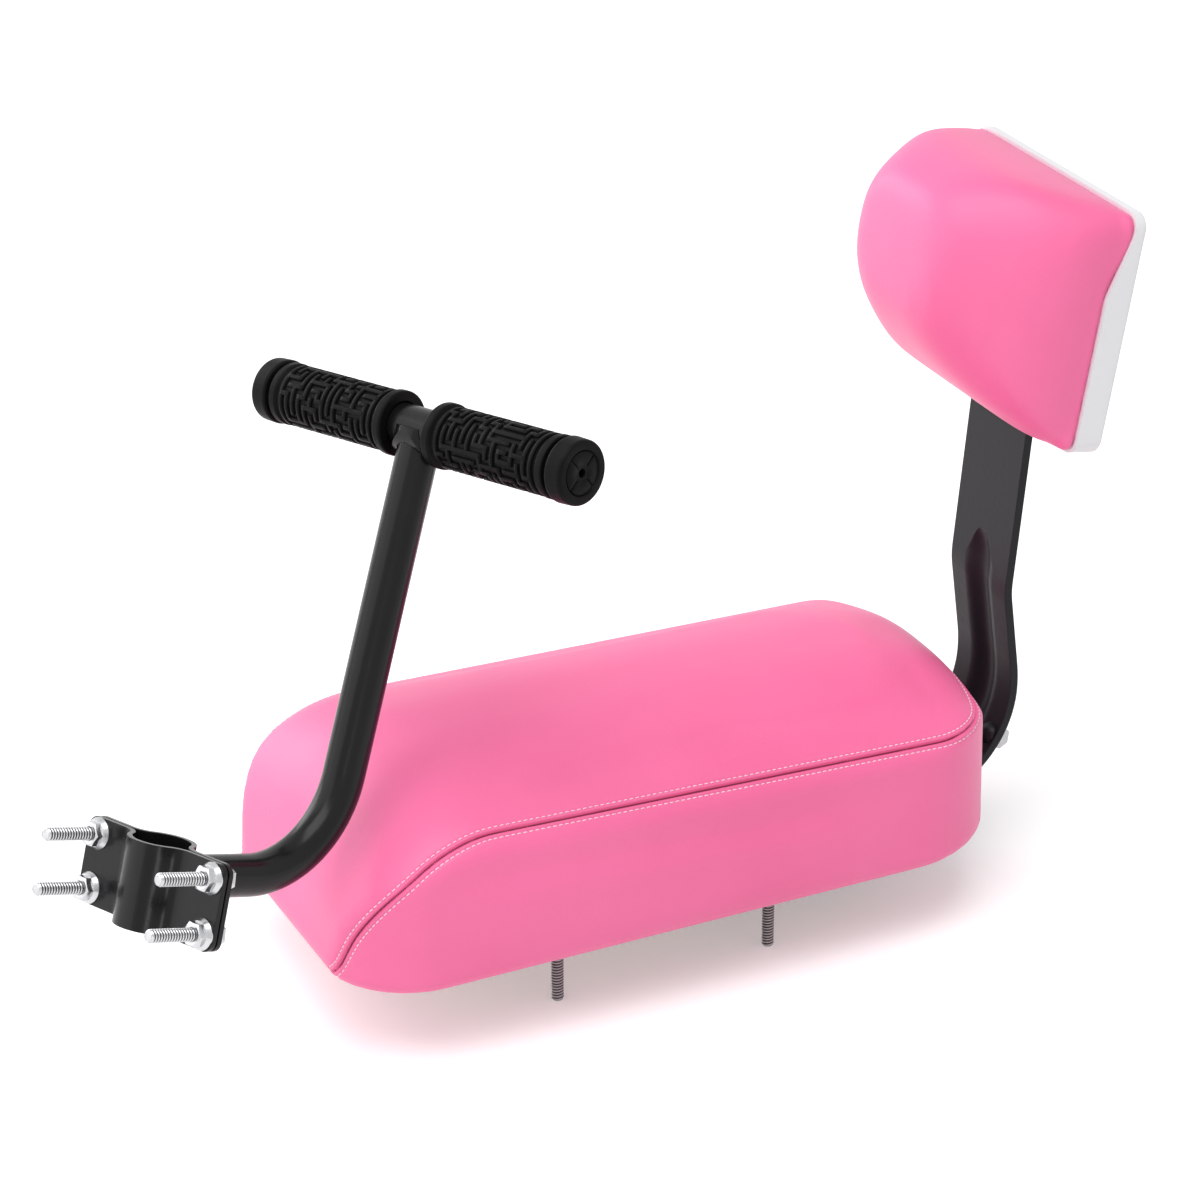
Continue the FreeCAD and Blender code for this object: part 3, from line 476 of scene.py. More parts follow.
@dataclass(frozen=True)
class Plywood(Finish):
    """Birch plywood board with long grain."""

    pale: Colour = (0.52, 0.42, 0.34)
    dark: Colour = (0.34, 0.25, 0.19)

    def write(self, g: Graph) -> None:
        """Grain drawn out along the board.

        Args:
            g: graph to write into.
        """
        along = g.noise(1.0, 5.0, g.stretched((160.0, 9.0, 160.0)))
        pores = g.noise(1.0, 3.0, g.stretched((900.0, 60.0, 900.0)))
        body = g.blend(g.stepped(along, 0.35, 0.7), self.pale, self.dark)
        g.surface(Base_Color=body, Roughness=0.6 + pores * 0.2, Normal=g.bump(pores, 0.0001, 0.6))


@dataclass(frozen=True)
class Finishes:
    """All materials of the scene, made once."""

    leather: bpy.types.Material
    thread: bpy.types.Material
    bar: bpy.types.Material
    gloss: bpy.types.Material
    zinc: bpy.types.Material
    dull_zinc: bpy.types.Material
    shell: bpy.types.Material
    rubber: bpy.types.Material
    plywood: bpy.types.Material

    @classmethod
    def make(cls) -> "Finishes":
        """Makes every material.

        Returns:
            The set of materials.
        """
        satin = Paint(
            "charcoal_satin", (0.011, 0.0107, 0.0135), roughness=0.36, coat=0.02, gleam=0.15,
            peel=0.00005, edge=0.0008,
        )
        return cls(
            leather=Leatherette("pink_leatherette").material(),
            thread=Thread("white_thread").material(),
            bar=satin.material(),
            gloss=Paint("black_gloss").material(),
            zinc=Zinc("bright_zinc").material(),
            # painted shade: a darker, less metallic copy of the zinc for the studs that stand under the seat
            dull_zinc=Zinc("dull_zinc", (0.5, 0.51, 0.52), shade=0.75, metal=0.6).material(),
            shell=MouldedPlastic("white_shell").material(),
            rubber=GripRubber("black_rubber").material(),
            plywood=Plywood("birch_plywood").material(),
        )


# Mesh helpers


def new_object(name: str, mesh: bpy.types.Mesh, material: bpy.types.Material) -> bpy.types.Object:
    """Links a mesh into the scene.

    Args:
        name: name of the piece.
        mesh: its mesh.
        material: its finish.

    Returns:
        The new object.
    """
    made = bpy.data.objects.new(name, mesh)
    bpy.context.scene.collection.objects.link(made)
    mesh.materials.clear()
    mesh.materials.append(material)
    return made


def shade_smooth(mesh: bpy.types.Mesh) -> None:
    """Shades every face of a mesh smooth."""
    mesh.polygons.foreach_set("use_smooth", [True] * len(mesh.polygons))


def apply_modifiers(piece: bpy.types.Object) -> None:
    """Replaces a piece's mesh by its evaluated mesh and removes its modifiers.

    Args:
        piece: the piece.
    """
    graph = bpy.context.evaluated_depsgraph_get()
    mesh = bpy.data.meshes.new_from_object(piece.evaluated_get(graph))
    piece.modifiers.clear()
    piece.data = mesh


def settle(piece: bpy.types.Object, slot: Slot, *nodes: str) -> None:
    """Rides a piece on the body and hides the solids that it stands for.

    Args:
        piece: the finished piece.
        slot: material slot of the record; not used.
        nodes: solids that it stands for.
    """
    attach(piece, BODY)
    if nodes:
        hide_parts(*nodes)
    LOG.info("%s: %d faces", piece.name, len(piece.data.polygons))


def ring_faces(rings: int, around: int) -> Faces:
    """Quads between closed rings of points.

    Args:
        rings: number of rings.
        around: points in a ring.

    Returns:
        Faces as point numbers.
    """
    faces = []
    for low in range(0, (rings - 1) * around, around):
        high = low + around
        for j in range(around):
            k = (j + 1) % around
            faces.append((low + j, low + k, high + k, high + j))
    return faces


def circle(middle: Vector, side: Vector, across: Vector, radii: Sequence[float]) -> list[Vector]:
    """Points round a middle.

    Args:
        middle: centre of the circle.
        side: direction of the first point.
        across: direction of the point a quarter further on.
        radii: distance of each point from the middle.

    Returns:
        The points.
    """
    points = []
    for j, radius in enumerate(radii):
        turn = 2 * math.pi * j / len(radii)
        points.append(middle + side * (math.cos(turn) * radius) + across * (math.sin(turn) * radius))
    return points


class Draft:
    """Points and faces of a mesh while it is drawn."""

    def __init__(self) -> None:
        """Starts with nothing drawn."""
        self.points: list[Vector] = []
        self.faces: Faces = []

    def add(self, points: Iterable[Vector], faces: Iterable[Sequence[int]]) -> None:
        """Adds some points and the faces between them.

        Args:
            points: places in metres.
            faces: point numbers, counted from the first of these points.
        """
        first = len(self.points)
        self.points.extend(points)
        self.faces.extend(tuple(first + k for k in face) for face in faces)

    def rod(self, rings: Sequence[Sequence[Vector]]) -> None:
        """Adds a solid drawn through rings of points, closed at both ends.

        Args:
            rings: rings of equal length, from the foot to the tip.
        """
        around = len(rings[0])
        tip = (len(rings) - 1) * around
        ends = [tuple(reversed(range(around))), tuple(range(tip, tip + around))]
        self.add((point for ring in rings for point in ring), ring_faces(len(rings), around) + ends)

    def prism(self, sides: int, levels: Sequence[Point2], start: Vector, axis: Vector) -> None:
        """Adds a turned or many-sided solid.

        Args:
            sides: number of sides.
            levels: (radius, height) from the foot to the top.
            start: centre of the foot.
            axis: direction of the height.
        """
        side = axis.orthogonal().normalized()
        across = axis.cross(side)
        self.rod([circle(start + axis * height, side, across, [radius] * sides) for radius, height in levels])

    def piece(self, name: str, material: bpy.types.Material) -> bpy.types.Object:
        """Makes one smooth piece of all that is drawn.

        Args:
            name: name of the piece.
            material: its finish.

        Returns:
            The new object.
        """
        mesh = bpy.data.meshes.new(name)
        mesh.from_pydata([tuple(p) for p in self.points], [], self.faces)
        shade_smooth(mesh)
        mesh.update()
        return new_object(name, mesh, material)


def rounded_path(corners: Sequence[Point3], step: float) -> list[Point2]:
    """Points along straight runs joined by tangent arcs.

    Args:
        corners: (a, b, radius) of each corner; the ends have radius 0.
        step: distance between points.

    Returns:
        The points, about evenly spaced.
    """
    path: list[Point2] = [corners[0][:2]]

    def run_to(target: Vector) -> None:
        """Adds a straight run.

        Args:
            target: where the run ends.
        """
        start = Vector(path[-1])
        count = max(1, round((target - start).length / step))
        path.extend(tuple(start.lerp(target, i / count)) for i in range(1, count + 1))

    for before, here, after in zip(corners, corners[1:], corners[2:]):
        point = Vector(here[:2])
        back = (Vector(before[:2]) - point).normalized()
        on = (Vector(after[:2]) - point).normalized()
        half = back.angle(on) / 2
        reach = here[2] / math.tan(half)
        centre = point + (back + on).normalized() * (here[2] / math.sin(half))
        run_to(point + back * reach)
        first = point + back * reach - centre
        sweep = first.angle_signed(point + on * reach - centre)
        count = max(2, round(abs(sweep) * here[2] / step))
        for i in range(1, count + 1):
            turn = Matrix.Rotation(-sweep * i / count, 2)
            path.append(tuple(centre + turn @ first))
    run_to(Vector(corners[-1][:2]))
    return path


# Upholstery


def surface_tree(piece: bpy.types.Object) -> BVHTree:
    """Search tree of a piece's mesh."""
    points = [v.co.copy() for v in piece.data.vertices]
    return BVHTree.FromPolygons(points, [tuple(p.vertices) for p in piece.data.polygons])


def ease(value: float, low: float, high: float) -> float:
    """Smooth step from 0 at low to 1 at high."""
    t = min(max((value - low) / (high - low), 0.0), 1.0)
    return t * t * (3 - 2 * t)


def bell(value: float, middle: float, width: float) -> float:
    """Bell curve that is 1 at its middle."""
    return math.exp(-(((value - middle) / width) ** 2))


@dataclass
class Stuffing:
    """How a cushion is filled: an even skin under pressure, held at its base."""

    voxel: float = 4.0 * MM
    start_inset: float = 1.6 * MM
    pressure: float = 4.0
    frames: int = 20
    sag: float = 0.8 * MM
    swell: float = 2.4 * MM
    evening: int = 12
    relax: int = 8
    smoothing: float = 0.5
    stretch_stiffness: float = 12.0
    bend_stiffness: float = 0.6

    def hull(self, name: str, nodes: Iterable[str], material: bpy.types.Material) -> bpy.types.Object:
        """Closed skin round some CAD solids, remeshed evenly and laid back on their outside.

        Args:
            name: name of the new piece.
            nodes: CAD nodes whose outside it follows.
            material: its finish.

        Returns:
            The skin as a new object.
        """
        shell = bmesh.new()
        for node in nodes:
            shell.from_mesh(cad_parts[node].data)
        found = bmesh.ops.convex_hull(shell, input=shell.verts)
        drop = {e for e in found["geom_interior"] + found["geom_unused"] if isinstance(e, bmesh.types.BMVert)}
        bmesh.ops.delete(shell, geom=list(drop), context="VERTS")
        mesh = bpy.data.meshes.new(name)
        shell.to_mesh(mesh)
        shell.free()
        piece = new_object(name, mesh, material)
        outside = surface_tree(piece)
        remesh = piece.modifiers.new("even_skin", "REMESH")
        remesh.mode = "VOXEL"
        remesh.voxel_size = self.voxel
        smooth = piece.modifiers.new("relaxed_skin", "SMOOTH")
        smooth.iterations = self.relax
        smooth.factor = self.smoothing
        apply_modifiers(piece)
        for vertex in piece.data.vertices:
            vertex.co = outside.find_nearest(vertex.co)[0]
        piece.data.update()
        return piece

    def fill(self, piece: bpy.types.Object, held: Callable[[Vector], bool]) -> None:
        """Fills a skin by cloth simulation and evens out how far it swells.

        Args:
            piece: the skin.
            held: says whether a point stays where it is.
        """
        rest = [v.co.copy() for v in piece.data.vertices]
        normals = [v.normal.copy() for v in piece.data.vertices]
        fixed = [held(p) for p in rest]
        for vertex, normal, stay in zip(piece.data.vertices, normals, fixed):
            if not stay:
                vertex.co -= normal * self.start_inset
        self.blow_up(piece, [i for i, stay in enumerate(fixed) if stay])
        lift = [(v.co - r).dot(n) for v, r, n in zip(piece.data.vertices, rest, normals)]
        lift = self.evened(piece.data, lift, fixed)
        for vertex, place, normal, height in zip(piece.data.vertices, rest, normals, lift):
            vertex.co = place + normal * height
        piece.vertex_groups.clear()

    def blow_up(self, piece: bpy.types.Object, held: list[int]) -> None:
        """Runs the cloth simulation.

        Args:
            piece: the skin, drawn in by its start inset.
            held: numbers of the points that stay.
        """
        piece.vertex_groups.new(name="held").add(held, 1.0, "ADD")
        settings = piece.modifiers.new("filling", "CLOTH").settings
        settings.vertex_group_mass = "held"
        settings.use_pressure = True
        settings.uniform_pressure_force = self.pressure
        settings.effector_weights.gravity = 0.0
        settings.tension_stiffness = self.stretch_stiffness
        settings.compression_stiffness = self.stretch_stiffness
        settings.bending_stiffness = self.bend_stiffness
        piece.modifiers["filling"].collision_settings.use_collision = False
        scene = bpy.context.scene
        for step in range(1, self.frames + 1):
            scene.frame_set(step)
        apply_modifiers(piece)
        scene.frame_set(1)

    def evened(self, mesh: bpy.types.Mesh, lift: list[float], fixed: list[bool]) -> list[float]:
        """Averages heights over neighbouring points and keeps them in bounds.

        Args:
            mesh: the skin.
            lift: height of each point above its rest place.
            fixed: which points stay.

        Returns:
            The evened heights.
        """
        near: list[list[int]] = [[] for _ in lift]
        for edge in mesh.edges:
            a, b = edge.vertices
            near[a].append(b)
            near[b].append(a)
        for _ in range(self.evening):
            lift = [
                0.0 if stay else (height + sum(lift[k] for k in beside)) / (1 + len(beside))
                for height, beside, stay in zip(lift, near, fixed)
            ]
        return [min(max(height, -self.sag), self.swell) for height in lift]

    def soften(self, piece: bpy.types.Object, rounds: int, group: str = "") -> None:
        """Relaxes a filled skin and doubles its resolution once.

        Args:
            piece: the skin.
            rounds: smoothing steps.
            group: points that may relax, where not all do.
        """
        smooth = piece.modifiers.new("even_tension", "SMOOTH")
        smooth.iterations = rounds
        smooth.factor = self.smoothing
        smooth.vertex_group = group
        finer = piece.modifiers.new("finer_skin", "SUBSURF")
        finer.levels = 1
        finer.render_levels = 1
        apply_modifiers(piece)
        shade_smooth(piece.data)


@dataclass
class Seam:
    """A sewn seam drawn on the cushion: where it runs, how deep it dips and how its stitches sit."""

    start_y: float = -167.0 * MM
    front_lean: float = 18.0 * MM
    front_z: float = 73.0 * MM
    front_r: float = 66.0 * MM
    knee_y: float = 136.4 * MM
    rear_z: float = 64.0 * MM
    knee_r: float = 16.0 * MM
    end_y: float = 177.0 * MM
    end_z: float = 66.0 * MM
    step: float = 1.0 * MM
    depth: float = 1.7 * MM
    width: float = 0.95 * MM
    ridge: float = 0.35 * MM
    row_offset: float = 2.8 * MM
    row_dip: float = 0.4 * MM
    row_width: float = 0.7 * MM
    pitch: float = 2.9 * MM
    stitch: float = 2.1 * MM
    thread_r: float = 0.3 * MM
    refine: float = 4.8 * MM
    cuts: int = 3
    tries: int = 4
    path_rounds: int = 24
    way_rounds: int = 30
    span: int = 6
    leads: Point2 = (0.25, 0.5)
    stitch_rings: int = 7
    stitch_sides: int = 8
    arch: float = 0.75
    dive: float = 1.5
    tip: float = 0.55

    def side_path(self) -> list[Point2]:
        """The seam seen from the side.

        Returns:
            Points (y, z) from the front bottom to the rear corner.
        """
        corners = [
            (self.start_y, 0.0, 0.0),
            (self.start_y + self.front_lean, self.front_z, self.front_r),
            (self.knee_y, self.rear_z, self.knee_r),
            (self.end_y, self.end_z, 0.0),
        ]
        return rounded_path(corners, self.step)

    def trace(self, skin: BVHTree, reach: float) -> list[Vector]:
        """Finds the seam on the skin.

        Args:
            skin: search tree of the cushion.
            reach: a distance that is surely outside the cushion.

        Returns:
            Points from the front bottom on one side, round the rear, to the front bottom on the other.
        """
        near: list[Vector] = []
        for y, z in self.side_path():
            hit = skin.ray_cast(Vector((reach, y, z)), Vector((-1, 0, 0)))[0]
            if hit is not None and hit.x > 0:
                near.append(hit)
        corner = near[-1]
        slope = (self.end_z - self.rear_z) / (self.end_y - self.knee_y)
        count = max(2, round(2 * corner.x / self.step))
        rear: list[Vector] = []
        for i in range(1, count):
            x = corner.x * (1 - 2 * i / count)
            z = corner.z
            hit = None
            for _ in range(self.tries):
                hit = skin.ray_cast(Vector((x, reach, z)), Vector((0, -1, 0)))[0]
                if hit is None:
                    break
                z = self.rear_z + (hit.y - self.knee_y) * slope
            if hit is not None:
                rear.append(hit)
        far = [Vector((-p.x, p.y, p.z)) for p in reversed(near)]
        return self.evened(near + rear + far)

    def evened(self, points: list[Vector]) -> list[Vector]:
        """Smooths a chain of points and spaces it evenly.

        Args:
            points: the chain.

        Returns:
            The new chain.
        """
        for _ in range(self.path_rounds):
            inner = [(a + b * 2 + c) / 4 for a, b, c in zip(points, points[1:], points[2:])]
            points = [points[0], *inner, points[-1]]
        spaced = [points[0]]
        left = self.step
        for a, b in zip(points, points[1:]):
            length = (b - a).length
            while length >= left > 0 and length > 0:
                a = a.lerp(b, left / length)
                spaced.append(a)
                length = (b - a).length
                left = self.step
            left -= length
        return spaced

    def press(self, piece: bpy.types.Object, path: list[Vector]) -> None:
        """Presses the seam's valley and stitch rows into a skin and stores how near each point is, as the
        mask for the painted shade in the valley.

        Args:
            piece: the cushion.
            path: the seam's points.
        """
        tree = KDTree(len(path))
        for i, point in enumerate(path):
            tree.insert(point, i)
        tree.balance()
        skin = bmesh.new()
        skin.from_mesh(piece.data)
        close = {v for v in skin.verts if tree.find(v.co)[2] < self.refine}
        edges = [e for e in skin.edges if e.verts[0] in close and e.verts[1] in close]
        bmesh.ops.subdivide_edges(skin, edges=edges, cuts=self.cuts, use_grid_fill=True, smooth=0.0)
        skin.normal_update()
        layer = skin.verts.layers.float.new("seam")
        moves = []
        for vertex in skin.verts:
            away = tree.find(vertex.co)[2]
            valley = bell(away, 0.0, self.width)
            rows = bell(away, self.row_offset, self.row_width)
            shoulder = bell(away, self.width * 1.5, self.width * 0.6)
            # how near the seam each point lies: the mask for the painted shade in the valley
            vertex[layer] = bell(away, 0.0, self.width * 0.6)
            if away < self.refine * 1.5:
                drop = valley * self.depth + rows * self.row_dip - shoulder * self.ridge
                moves.append((vertex, vertex.normal * drop))
        for vertex, move in moves:
            vertex.co -= move
        skin.to_mesh(piece.data)
        skin.free()
        shade_smooth(piece.data)

    def outward(self, skin: BVHTree, path: list[Vector]) -> list[Vector]:
        """Evened directions out of the cushion along the seam.

        Args:
            skin: search tree of the cushion before the seam is pressed in.
            path: the seam's points.

        Returns:
            One direction for each point.
        """
        ways = [skin.find_nearest(point)[1] for point in path]
        for _ in range(self.way_rounds):
            inner = [(a + b * 2 + c).normalized() for a, b, c in zip(ways, ways[1:], ways[2:])]
            ways = [ways[0], *inner, ways[-1]]
        return ways

    def stitches(
        self, skin: BVHTree, path: list[Vector], ways: list[Vector], material: bpy.types.Material
    ) -> bpy.types.Object:
        """Two rows of stitches, one each side of the seam.

        Args:
            skin: search tree of the pressed cushion.
            path: the seam's points.
            ways: directions out of the cushion at those points.
            material: the thread's finish.

        Returns:
            All the stitches as one piece.
        """
        drawn = Draft()
        every = self.pitch / self.step
        for row, lead in zip((-1, 1), self.leads):
            at = every * lead
            while at < len(path) - every:
                i = int(at)
                middle = path[i].lerp(path[i + 1], at - i)
                at += every
                ahead, behind = min(i + self.span, len(path) - 1), max(i + 1 - self.span, 0)
                along = (path[ahead] - path[behind]).normalized()
                up = ways[i]
                side = along.cross(up).normalized()
                start = middle + side * (row * self.row_offset) + up * (4 * self.depth)
                foot = skin.ray_cast(start, -up)[0] or skin.find_nearest(start)[0]
                self.add_stitch(drawn, foot, along, side, up)
        return drawn.piece("seat_stitches", material)

    def add_stitch(self, drawn: Draft, foot: Vector, along: Vector, side: Vector, up: Vector) -> None:
        """Adds one stitch: a short arched thread whose ends go down into the cover.

        Args:
            drawn: the stitches so far.
            foot: the stitch's middle on the cover.
            along: direction of the seam.
            side: direction across the seam.
            up: direction out of the cover.
        """
        rings = []
        for i in range(self.stitch_rings):
            t = i / (self.stitch_rings - 1) * 2 - 1
            arch = self.thread_r * (self.arch - self.dive * t * t)
            middle = foot + along * (t * self.stitch / 2) + up * arch
            radius = self.thread_r * (1.0 if 0 < i < self.stitch_rings - 1 else self.tip)
            rings.append(circle(middle, side, up, [radius] * self.stitch_sides))
        drawn.rod(rings)


@dataclass
class SeatCushion:
    """The seat: a stuffed cover with its seam, on the board with its studs."""

    finishes: Finishes
    board_inset: float = 26.0 * MM
    board_end_inset: float = 40.0 * MM
    board_lift: float = 1.6 * MM
    bar_half: float = 27.0 * MM
    bend_start_y: float = 149.0 * MM
    bend_r: float = 52.0 * MM
    bar_gap: float = 0.6 * MM
    held_below: float = 7.0 * MM
    flat_below: float = 1.0 * MM
    rounding: int = 2
    outside: float = 0.4

    def build(self) -> None:
        """Makes the cover, the seam and the stitches, and fits the cover's underside to the board."""
        stuffing = Stuffing()
        cover = stuffing.hull("seat_cover", ("seat_top_panel", "seat_side_band"), self.finishes.leather)
        stuffing.fill(cover, lambda p: p.z < self.held_below)
        stuffing.soften(cover, self.rounding)
        self.fit_underside(cover)
        seam = Seam()
        skin = surface_tree(cover)
        path = seam.trace(skin, self.outside)
        ways = seam.outward(skin, path)
        seam.press(cover, path)
        stitches = seam.stitches(surface_tree(cover), path, ways, self.finishes.thread)
        settle(cover, Slot.LEATHERETTE, "seat_top_panel", "seat_side_band", "seat_foam")
        settle(stitches, Slot.LEATHERETTE)

    def fit_underside(self, cover: bpy.types.Object) -> None:
        """Opens the cover's underside over the board and keeps it clear of the bar's bend.

        Args:
            cover: the filled cover.
        """
        low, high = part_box("seat_side_band")
        middle = (low[1] + high[1]) / 2
        half_x = (high[0] - low[0]) / 2 - self.board_inset
        half_y = (high[1] - low[1]) / 2 - self.board_end_inset
        for vertex in cover.data.vertices:
            p = vertex.co
            if p.z < self.flat_below:
                p.z = max(p.z, 0.0)
                if abs(p.x) < half_x and abs(p.y - middle) < half_y:
                    p.z = self.board_lift
            run = p.y - self.bend_start_y
            if abs(p.x) < self.bar_half and 0 < run < self.bend_r:
                bar_top = self.bend_r - math.sqrt(self.bend_r ** 2 - run ** 2) + self.bar_gap
                p.z = max(p.z, bar_top)


# Backrest


@dataclass
class Backrest:
    """The backrest's pad, pressed into the rim of its shell."""

    finishes: Finishes
    knee: Point3 = (0.0, 205.67 * MM, 184.0 * MM)
    lean: float = math.radians(9.7)
    climb: float = 65.0 * MM
    setback: float = 9.0 * MM
    half_width: float = 70.0 * MM
    half_height: float = 58.3 * MM
    wall: float = 2.5 * MM
    corner_r: float = 8.0 * MM
    rim_depth: float = 14.5 * MM
    rim_top_depth: float = 6.0 * MM
    scallop_low: float = 18.3 * MM
    scallop_high: float = 48.3 * MM
    rim_gap: float = 0.25 * MM
    bulge: float = 1.6 * MM
    bulge_run: float = 4.0 * MM
    bulge_fade: float = 24.0 * MM
    lip_run: float = 1.6 * MM
    lip_fade: float = 7.0 * MM
    loose: float = 11.0 * MM
    crown: float = 3.6 * MM
    dome: float = 0.12
    dome_depth: float = 74.0 * MM
    nose: float = 2.5 * MM
    puff: float = 4.5 * MM
    crest: float = 24.0 * MM
    rounding: int = 60
    bar_half: float = 26.0 * MM
    bar_top: float = 41.0 * MM
    bar_front: float = 11.5 * MM
    board_front: float = 20.2 * MM
    board_inset: float = 7.0 * MM
    stay: float = 0.5 * MM
    crown_start: float = 0.8
    crown_fade: Point2 = (44.0 * MM, 77.0 * MM)
    droop: float = 0.5
    hold_walls: float = 6.0

    def place(self) -> Matrix:
        """Frame of the shell's rear face: X across, Y to the rear, Z up the leaning back."""
        lean = Matrix.Rotation(-self.lean, 4, "X")
        return Matrix.Translation(self.knee) @ lean @ Matrix.Translation((0.0, self.setback, self.climb))

    def build(self) -> None:
        """Makes the pad's cover."""
        local = self.place().inverted()
        stuffing = Stuffing(voxel=3.0 * MM, swell=3.0 * MM)
        pad = stuffing.hull("backrest_pad", ("backrest_cover",), self.finishes.leather)
        stuffing.fill(pad, lambda p: -(local @ p).y < self.rim_depth)
        self.press_in(pad, self.bulge_run, self.bulge_fade)
        self.round_out(pad)
        stuffing.soften(pad, self.rounding, "free")
        self.press_in(pad, self.lip_run, self.lip_fade)
        settle(pad, Slot.LEATHERETTE, "backrest_cover", "backrest_foam")

    def round_out(self, pad: bpy.types.Object) -> None:
        """Crowns, domes and puffs the pad ahead of the rim, and marks what may relax there.

        Args:
            pad: the filled pad.
        """
        place = self.place()
        local = place.inverted()
        free = pad.vertex_groups.new(name="free")
        for vertex in pad.data.vertices:
            p = local @ vertex.co
            ahead = -p.y - self.rim(p.z)
            free.add([vertex.index], ease(ahead, self.stay, self.loose), "REPLACE")
            full = ease(p.z, 0.0, self.half_height * self.crown_start) * ease(ahead, 0.0, self.loose)
            p.z += self.crown * full * (1 - ease(ahead, *self.crown_fade))
            turn = min(1.0, max(0.0, ahead / self.dome_depth)) ** 2
            p.x *= 1 - self.dome * turn
            p.y -= self.nose * turn
            _, way = self.from_rim(p.x, p.z)
            swell = self.puff * ease(ahead, 0.0, self.crest) * (1 - ease(ahead, self.crest, 3 * self.crest))
            p.x += way.x * swell
            p.z += min(way.y, 0.0) * swell * self.droop
            vertex.co = place @ p

    def rim(self, height: float) -> float:
        """Depth of the shell's rim at a height."""
        share = ease(height, self.scallop_low, self.scallop_high)
        return self.rim_depth + (self.rim_top_depth - self.rim_depth) * share

    def from_rim(self, x: float, height: float) -> tuple[float, Vector]:
        """Distance of a point from the rim's inner outline.

        Args:
            x: place across the back.
            height: place up the back.

        Returns:
            The distance, negative inside, and the way out of the outline.
        """
        radius = self.corner_r - self.wall
        inset = Vector((1, 1)) * (self.wall + radius)
        q = Vector((abs(x) - self.half_width, abs(height) - self.half_height)) + inset
        if q.x > 0 and q.y > 0:
            away, way = q.length - radius, q.normalized()
        elif q.x > q.y:
            away, way = q.x - radius, Vector((1, 0))
        else:
            away, way = q.y - radius, Vector((0, 1))
        return away, Vector((math.copysign(way.x, x), math.copysign(way.y, height)))

    def press_in(self, pad: bpy.types.Object, run: float, reach: float) -> None:
        """Presses the pad against the rim, wells it over the edge and hollows it for board and bar.

        Args:
            pad: the filled pad.
            run: distance ahead of the rim in which it wells out.
            reach: distance ahead of the rim at which it is left alone.
        """
        place = self.place()
        local = place.inverted()
        inner = -self.hold_walls * self.wall
        for vertex in pad.data.vertices:
            p = local @ vertex.co
            away, way = self.from_rim(p.x, p.z)
            ahead = -p.y - self.rim(p.z)
            wanted = self.bulge * ease(ahead, 0.0, run) - self.rim_gap
            depth = -p.y
            if ahead < 0:
                if away > -self.wall:
                    shift = wanted - away
                    p.x += way.x * shift
                    p.z += way.y * shift
                elif away < -self.board_inset:
                    depth = max(depth, self.board_front)
            elif away > inner:
                hold = (1 - ease(ahead, run, reach)) * ease(away, inner, -self.wall)
                shift = max(0.0, (wanted - away) * hold)
                p.x += way.x * shift
                p.z += way.y * shift
            if abs(p.x) < self.bar_half and p.z < self.bar_top:
                depth = max(depth, self.bar_front)
            p.y = -depth
            vertex.co = place @ p
        pad.data.update()


# Fasteners


@dataclass
class ThreadedShank:
    """A bolt's threaded end, drawn as a helical ridge."""

    radius: float = 3.0 * MM
    root: float = 2.25 * MM
    pitch: float = 1.5 * MM
    chamfer: float = 0.8 * MM
    rise: float = 1.25
    slope: float = 2.75
    around: int = 28
    per_pitch: int = 8
    root_shade_mask: dict[int, float] = field(default_factory=dict)

    def add(self, drawn: Draft, start: Vector, axis: Vector, length: float) -> None:
        """Adds one threaded shank.

        Args:
            drawn: the bolts so far.
            start: where the thread begins.
            axis: direction of the bolt's tip.
            length: length of the thread.
        """
        side = axis.orthogonal().normalized()
        across = axis.cross(side)
        number = len(drawn.points)
        steps = max(2, round(length / self.pitch * self.per_pitch))
        rings = []
        for i in range(steps + 1):
            along = length * i / steps
            narrow = max(0.0, self.chamfer - (length - along))
            radii = []
            for j in range(self.around):
                wave = (along / self.pitch - j / self.around) % 1.0
                crest = min(1.0, max(0.0, self.rise - self.slope * abs(wave - 0.5)))
                radii.append(min(self.root + (self.radius - self.root) * crest, self.radius - narrow))
                # mask for the painted shade in the thread's roots
                self.root_shade_mask[number] = 0.0 if narrow else 1.0 - crest
                number += 1
            rings.append(circle(start + axis * along, side, across, radii))
        drawn.rod(rings)

    def shade(self, mesh: bpy.types.Mesh) -> None:
        """Keeps on a mesh's points how deep in the thread they lie, as the mask for the painted shade in the
        thread roots.

        Args:
            mesh: mesh that holds the shanks.
        """
        layer = mesh.attributes.new("root", "FLOAT", "POINT")
        for number, value in self.root_shade_mask.items():
            layer.data[number].value = value


@dataclass
class RackStuds:
    """Four carriage bolts with a domed head, a square neck in the board and a threaded end."""

    finishes: Finishes
    spacing: float = 110.0 * MM
    drop: float = 38.0 * MM
    board: float = 10.0 * MM
    head_r: float = 8.0 * MM
    head_h: float = 3.5 * MM
    head_sides: int = 24
    head_turns: tuple[float, ...] = (0.0, 0.35, 0.7, 1.1, 1.5)
    neck_r: float = 4.24 * MM
    neck_h: float = 4.6 * MM

    def build(self) -> None:
        """Makes the studs as one piece."""
        drawn = Draft()
        thread = ThreadedShank()
        half = self.spacing / 2
        down = Vector((0, 0, -1))
        dome = [(self.head_r * math.cos(t), self.head_h * math.sin(t)) for t in self.head_turns]
        neck = [(self.neck_r, 0.0), (self.neck_r, self.neck_h)]
        for x in (-half, half):
            for y in (-half, half):
                top = Vector((x, y, self.board))
                thread.add(drawn, top, down, self.board + self.drop)
                drawn.prism(self.head_sides, dome, top, -down)
                drawn.prism(4, neck, top, down)
        # the studs take the darker zinc copy, painted shade for their place under the seat
        studs = drawn.piece("stud_threads", self.finishes.dull_zinc)
        thread.shade(studs.data)
        settle(studs, Slot.ZINC, "rack_studs")


# Grab handle


